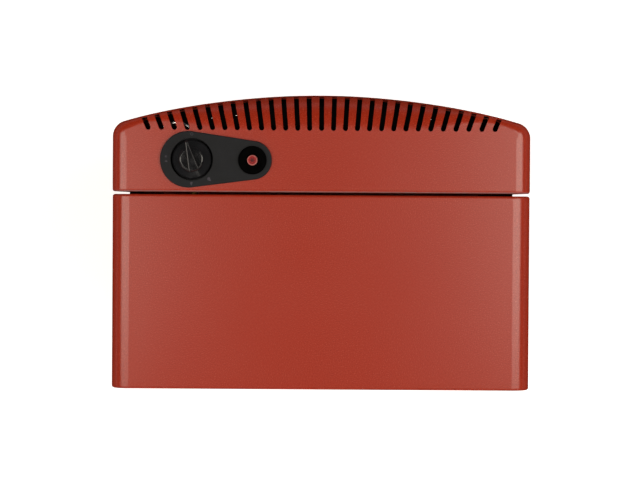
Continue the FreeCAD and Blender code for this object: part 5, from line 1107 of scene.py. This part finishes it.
@dataclass
class HoseInlet:
    """Brass nozzle with the barbs that hold the gas hose."""

    across_flats: float = 17.0 * MM
    hex_sides: int = 6
    hex_from: float = 4.0 * MM
    hex_length: float = 8.0 * MM
    hex_wall: float = 3.6 * MM
    hex_edge: float = 0.6 * MM
    thread_radius: float = 5.9 * MM
    spigot_radius: float = 4.5 * MM
    neck_radius: float = 3.8 * MM
    bore_radius: float = 2.5 * MM
    stem_sides: int = 32
    barbs: int = 5
    barb_slope: float = 4.0 * MM
    barb_pitch: float = 5.6 * MM

    def dress(self) -> None:
        """Coat the plain nozzle, which the barbed one stands for."""
        coat(DULL_BRASS, "hose_nozzle")

    def hexagon(self) -> BMesh:
        """Model the hexagon that a spanner turns, open where the stem goes through.

        Returns:
            The hexagon along Z, from zero.
        """
        corner = self.across_flats / 2 / math.cos(math.pi / self.hex_sides)
        mesh = raised(flat_ring(corner, self.hex_wall, self.hex_sides), self.hex_length)
        outer = [edge for edge in mesh.edges
                 if all(vert.co.xy.length > corner - self.hex_edge for vert in edge.verts)]
        bmesh.ops.bevel(mesh, geom=outer, offset=self.hex_edge, affect="EDGES", segments=2,
                        profile=BEVEL_PROFILE, material=-1)
        return mesh

    def build(self) -> None:
        """Turn the barbed stem and set the hexagon on it, in the place of the plain nozzle."""
        low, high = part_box("hose_nozzle")
        middle = (low + high) / 2
        length = high.y - low.y
        shoulder = self.hex_from + self.hex_length
        section = [(self.bore_radius, length), (self.bore_radius, 0.0), (self.thread_radius, 0.0),
                   (self.thread_radius, shoulder), (self.neck_radius, shoulder)]
        first = length - self.barbs * self.barb_pitch
        for barb in range(self.barbs):
            start = first + barb * self.barb_pitch
            section += [(self.neck_radius, start), (self.spigot_radius, start),
                        (self.neck_radius, start + self.barb_slope)]
        section += [(self.neck_radius, length), (self.bore_radius, length)]
        stem = turned(section, self.stem_sides)
        hexagon = self.hexagon()
        mesh = bmesh.new()
        place = axis_place((middle.x, low.y, middle.z), BACK)
        stamp(mesh, stem, place)
        stamp(mesh, hexagon, place @ Matrix.Translation((0, 0, self.hex_from)))
        stem.free()
        hexagon.free()
        finish_piece(mesh, "hose_nozzle_barbed", "cabinet", DULL_BRASS, ("hose_nozzle",))


@dataclass
class Castors:
    """Twin wheel castors and the moulded caps in the wheels' recesses."""

    # From a castor's middle to the floor of a wheel's recess
    seat: float = 14.5 * MM
    # Half section of a cap from its middle out: radius and height in mm
    cap_section: tuple[Pair, ...] = (
        (0.0, 0.7), (1.8, 0.7), (2.3, 1.2), (4.6, 1.2), (5.2, 0.6), (8.6, 0.6), (9.2, 1.2),
        (10.4, 1.2), (11.0, 0.7), (11.0, 0.0))
    cap_sides: int = 32
    corners: tuple[str, ...] = ("front_left", "front_right", "rear_left", "rear_right")

    def dress(self) -> None:
        """Coat the hoods, wheels, axles and stems."""
        coat(PLATED_STEEL, "castor_stems")
        for corner in self.corners:
            coat(BLACK_ABS, f"castor_hood_{corner}")
            coat(PLATED_STEEL, f"castor_axle_{corner}")
            coat(TREAD, f"castor_wheels_{corner}")

    def caps(self, corner: str) -> None:
        """Turn a ringed cap for the outer face of each of a castor's two wheels.

        Args:
            corner: which castor.
        """
        low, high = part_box(f"castor_wheels_{corner}")
        middle = (low + high) / 2
        mesh = bmesh.new()
        cap = turned(self.cap_section, self.cap_sides, MM, MM)
        for side in (1, -1):
            place = axis_place((middle.x + self.seat * side, middle.y, middle.z), ACROSS * side)
            stamp(mesh, cap, place)
        cap.free()
        finish_piece(mesh, f"wheel_caps_{corner}", f"wheels_{corner}", BLACK_ABS)

    def build(self) -> None:
        """Make every castor's caps."""
        for corner in self.corners:
            self.caps(corner)


@dataclass(frozen=True)
class SoftBox:
    """A soft box: its middle, the point it faces, its two sizes from there and its watts."""

    name: str
    place: Triple
    aim: Triple
    size: Pair
    power: float
    tint: str = "fff7ea"

    def hang(self) -> None:
        """Hang the box so that it faces its point."""
        lamp = bpy.data.lights.new(self.name, "AREA")
        lamp.shape = "RECTANGLE"
        lamp.size, lamp.size_y = self.size
        lamp.energy = self.power
        lamp.color = linear(self.tint)[:3]
        look = (Vector(self.aim) - Vector(self.place)).to_track_quat("-Z", "Y")
        hung = add_object(self.name, lamp)
        hung.matrix_world = Matrix.Translation(self.place) @ look.to_matrix().to_4x4()


@dataclass
class Studio:
    """Pale floor, two pairs of boxes overhead with a dark gap between, one behind, and a camera."""

    floor_size: float = 80.0
    floor_cells: int = 8
    floor_drop: float = 0.5 * MM
    boxes: tuple[SoftBox, ...] = (
        SoftBox("soft_box_front_left", place=(-1.59, -0.195, 3.2), aim=(0.0, -0.195, 0.72),
                size=(1.11, 2.7), power=51.47625),
        SoftBox("soft_box_front_right", place=(1.59, -0.03, 3.2), aim=(0.0, -0.03, 0.72),
                size=(0.78, 2.7), power=32.0385),
        SoftBox("soft_box_back_left", place=(-1.59, 1.75, 3.2), aim=(0.0, 1.75, 0.72),
                size=(1.5, 2.7), power=23.85),
        SoftBox("soft_box_back_right", place=(1.59, 1.75, 3.2), aim=(0.0, 1.75, 0.72),
                size=(1.5, 2.7), power=23.85),
        SoftBox("soft_box_rear", place=(0.0, 3.4, 2.0), aim=(0.0, 0.0, 0.72),
                size=(3.2, 0.7), power=14.0))
    # Greys of the room at levels from straight down, at zero, to straight up, at one
    room_levels: tuple[float, ...] = (0.36, 0.44, 0.5, 0.56, 0.7)
    room_greys: tuple[str, ...] = ("000000", "8c8c8c", "a8a8a8", "6c6c6c", "464646")
    lens: float = 146.1
    eye: Triple = (0.0009, -0.040, 3.320)
    # Degrees that the camera leans from straight down and turns about its line of sight
    tilt: float = -0.836
    roll: float = 0.375

    def floor(self) -> None:
        """Lay the floor just under the castors."""
        mesh = bmesh.new()
        bmesh.ops.create_grid(mesh, x_segments=self.floor_cells, y_segments=self.floor_cells,
                              size=self.floor_size / 2)
        bmesh.ops.translate(mesh, vec=(0, 0, -self.floor_drop), verts=mesh.verts)
        data = bpy.data.meshes.new("studio_floor")
        mesh.to_mesh(data)
        mesh.free()
        data.materials.append(FLOOR.material())
        ground = add_object("studio_floor", data)
        # The floor is kept out of reflections, so the heater's paint and plastics don't mirror the
        # white floor
        ground.visible_glossy = False

    def room(self) -> None:
        """Fill the room: weak from above, brightest round the walls, and black underfoot."""
        world = bpy.data.worlds.new("studio_room")
        world.use_nodes = True
        tree = world.node_tree
        tree.nodes.clear()
        way = add_node(tree, "ShaderNodeTexCoord").outputs["Generated"]
        up = add_node(tree, "ShaderNodeSeparateXYZ", {"Vector": way}).outputs["Z"]
        level = add_node(tree, "ShaderNodeMapRange", {"Value": up, "From Min": -1.0})
        tones = add_node(tree, "ShaderNodeValToRGB", {"Fac": level.outputs[0]},
                         zip(self.room_levels, self.room_greys))
        room = add_node(tree, "ShaderNodeBackground", {"Color": tones.outputs["Color"]})
        add_node(tree, "ShaderNodeOutputWorld", {"Surface": room.outputs["Background"]})
        bpy.context.scene.world = world

    def camera(self) -> None:
        """Look straight down with the heater's front at the top of the picture."""
        data = bpy.data.cameras.new("plan_camera")
        data.lens = self.lens
        eye = add_object("plan_camera", data)
        turn = (Matrix.Rotation(math.pi, 4, "Z") @ Matrix.Rotation(math.radians(self.tilt), 4, "X")
                @ Matrix.Rotation(math.radians(self.roll), 4, "Z"))
        eye.matrix_world = Matrix.Translation(self.eye) @ turn
        bpy.context.scene.camera = eye
        bpy.context.scene.view_settings.view_transform = "Standard"

    def build(self) -> None:
        """Set up the floor, the lights, the room and the camera."""
        self.floor()
        for box in self.boxes:
            box.hang()
        self.room()
        self.camera()


def main() -> None:
    """Build the studio and the heater's sub-assemblies in order."""
    logging.basicConfig(level=logging.INFO, format="%(name)s: %(message)s")
    Studio().build()
    for assembly in (Case(), Controls(), Burner(), HoseInlet(), Castors()):
        assembly.dress()
        assembly.build()


if __name__ == "__main__":
    main()
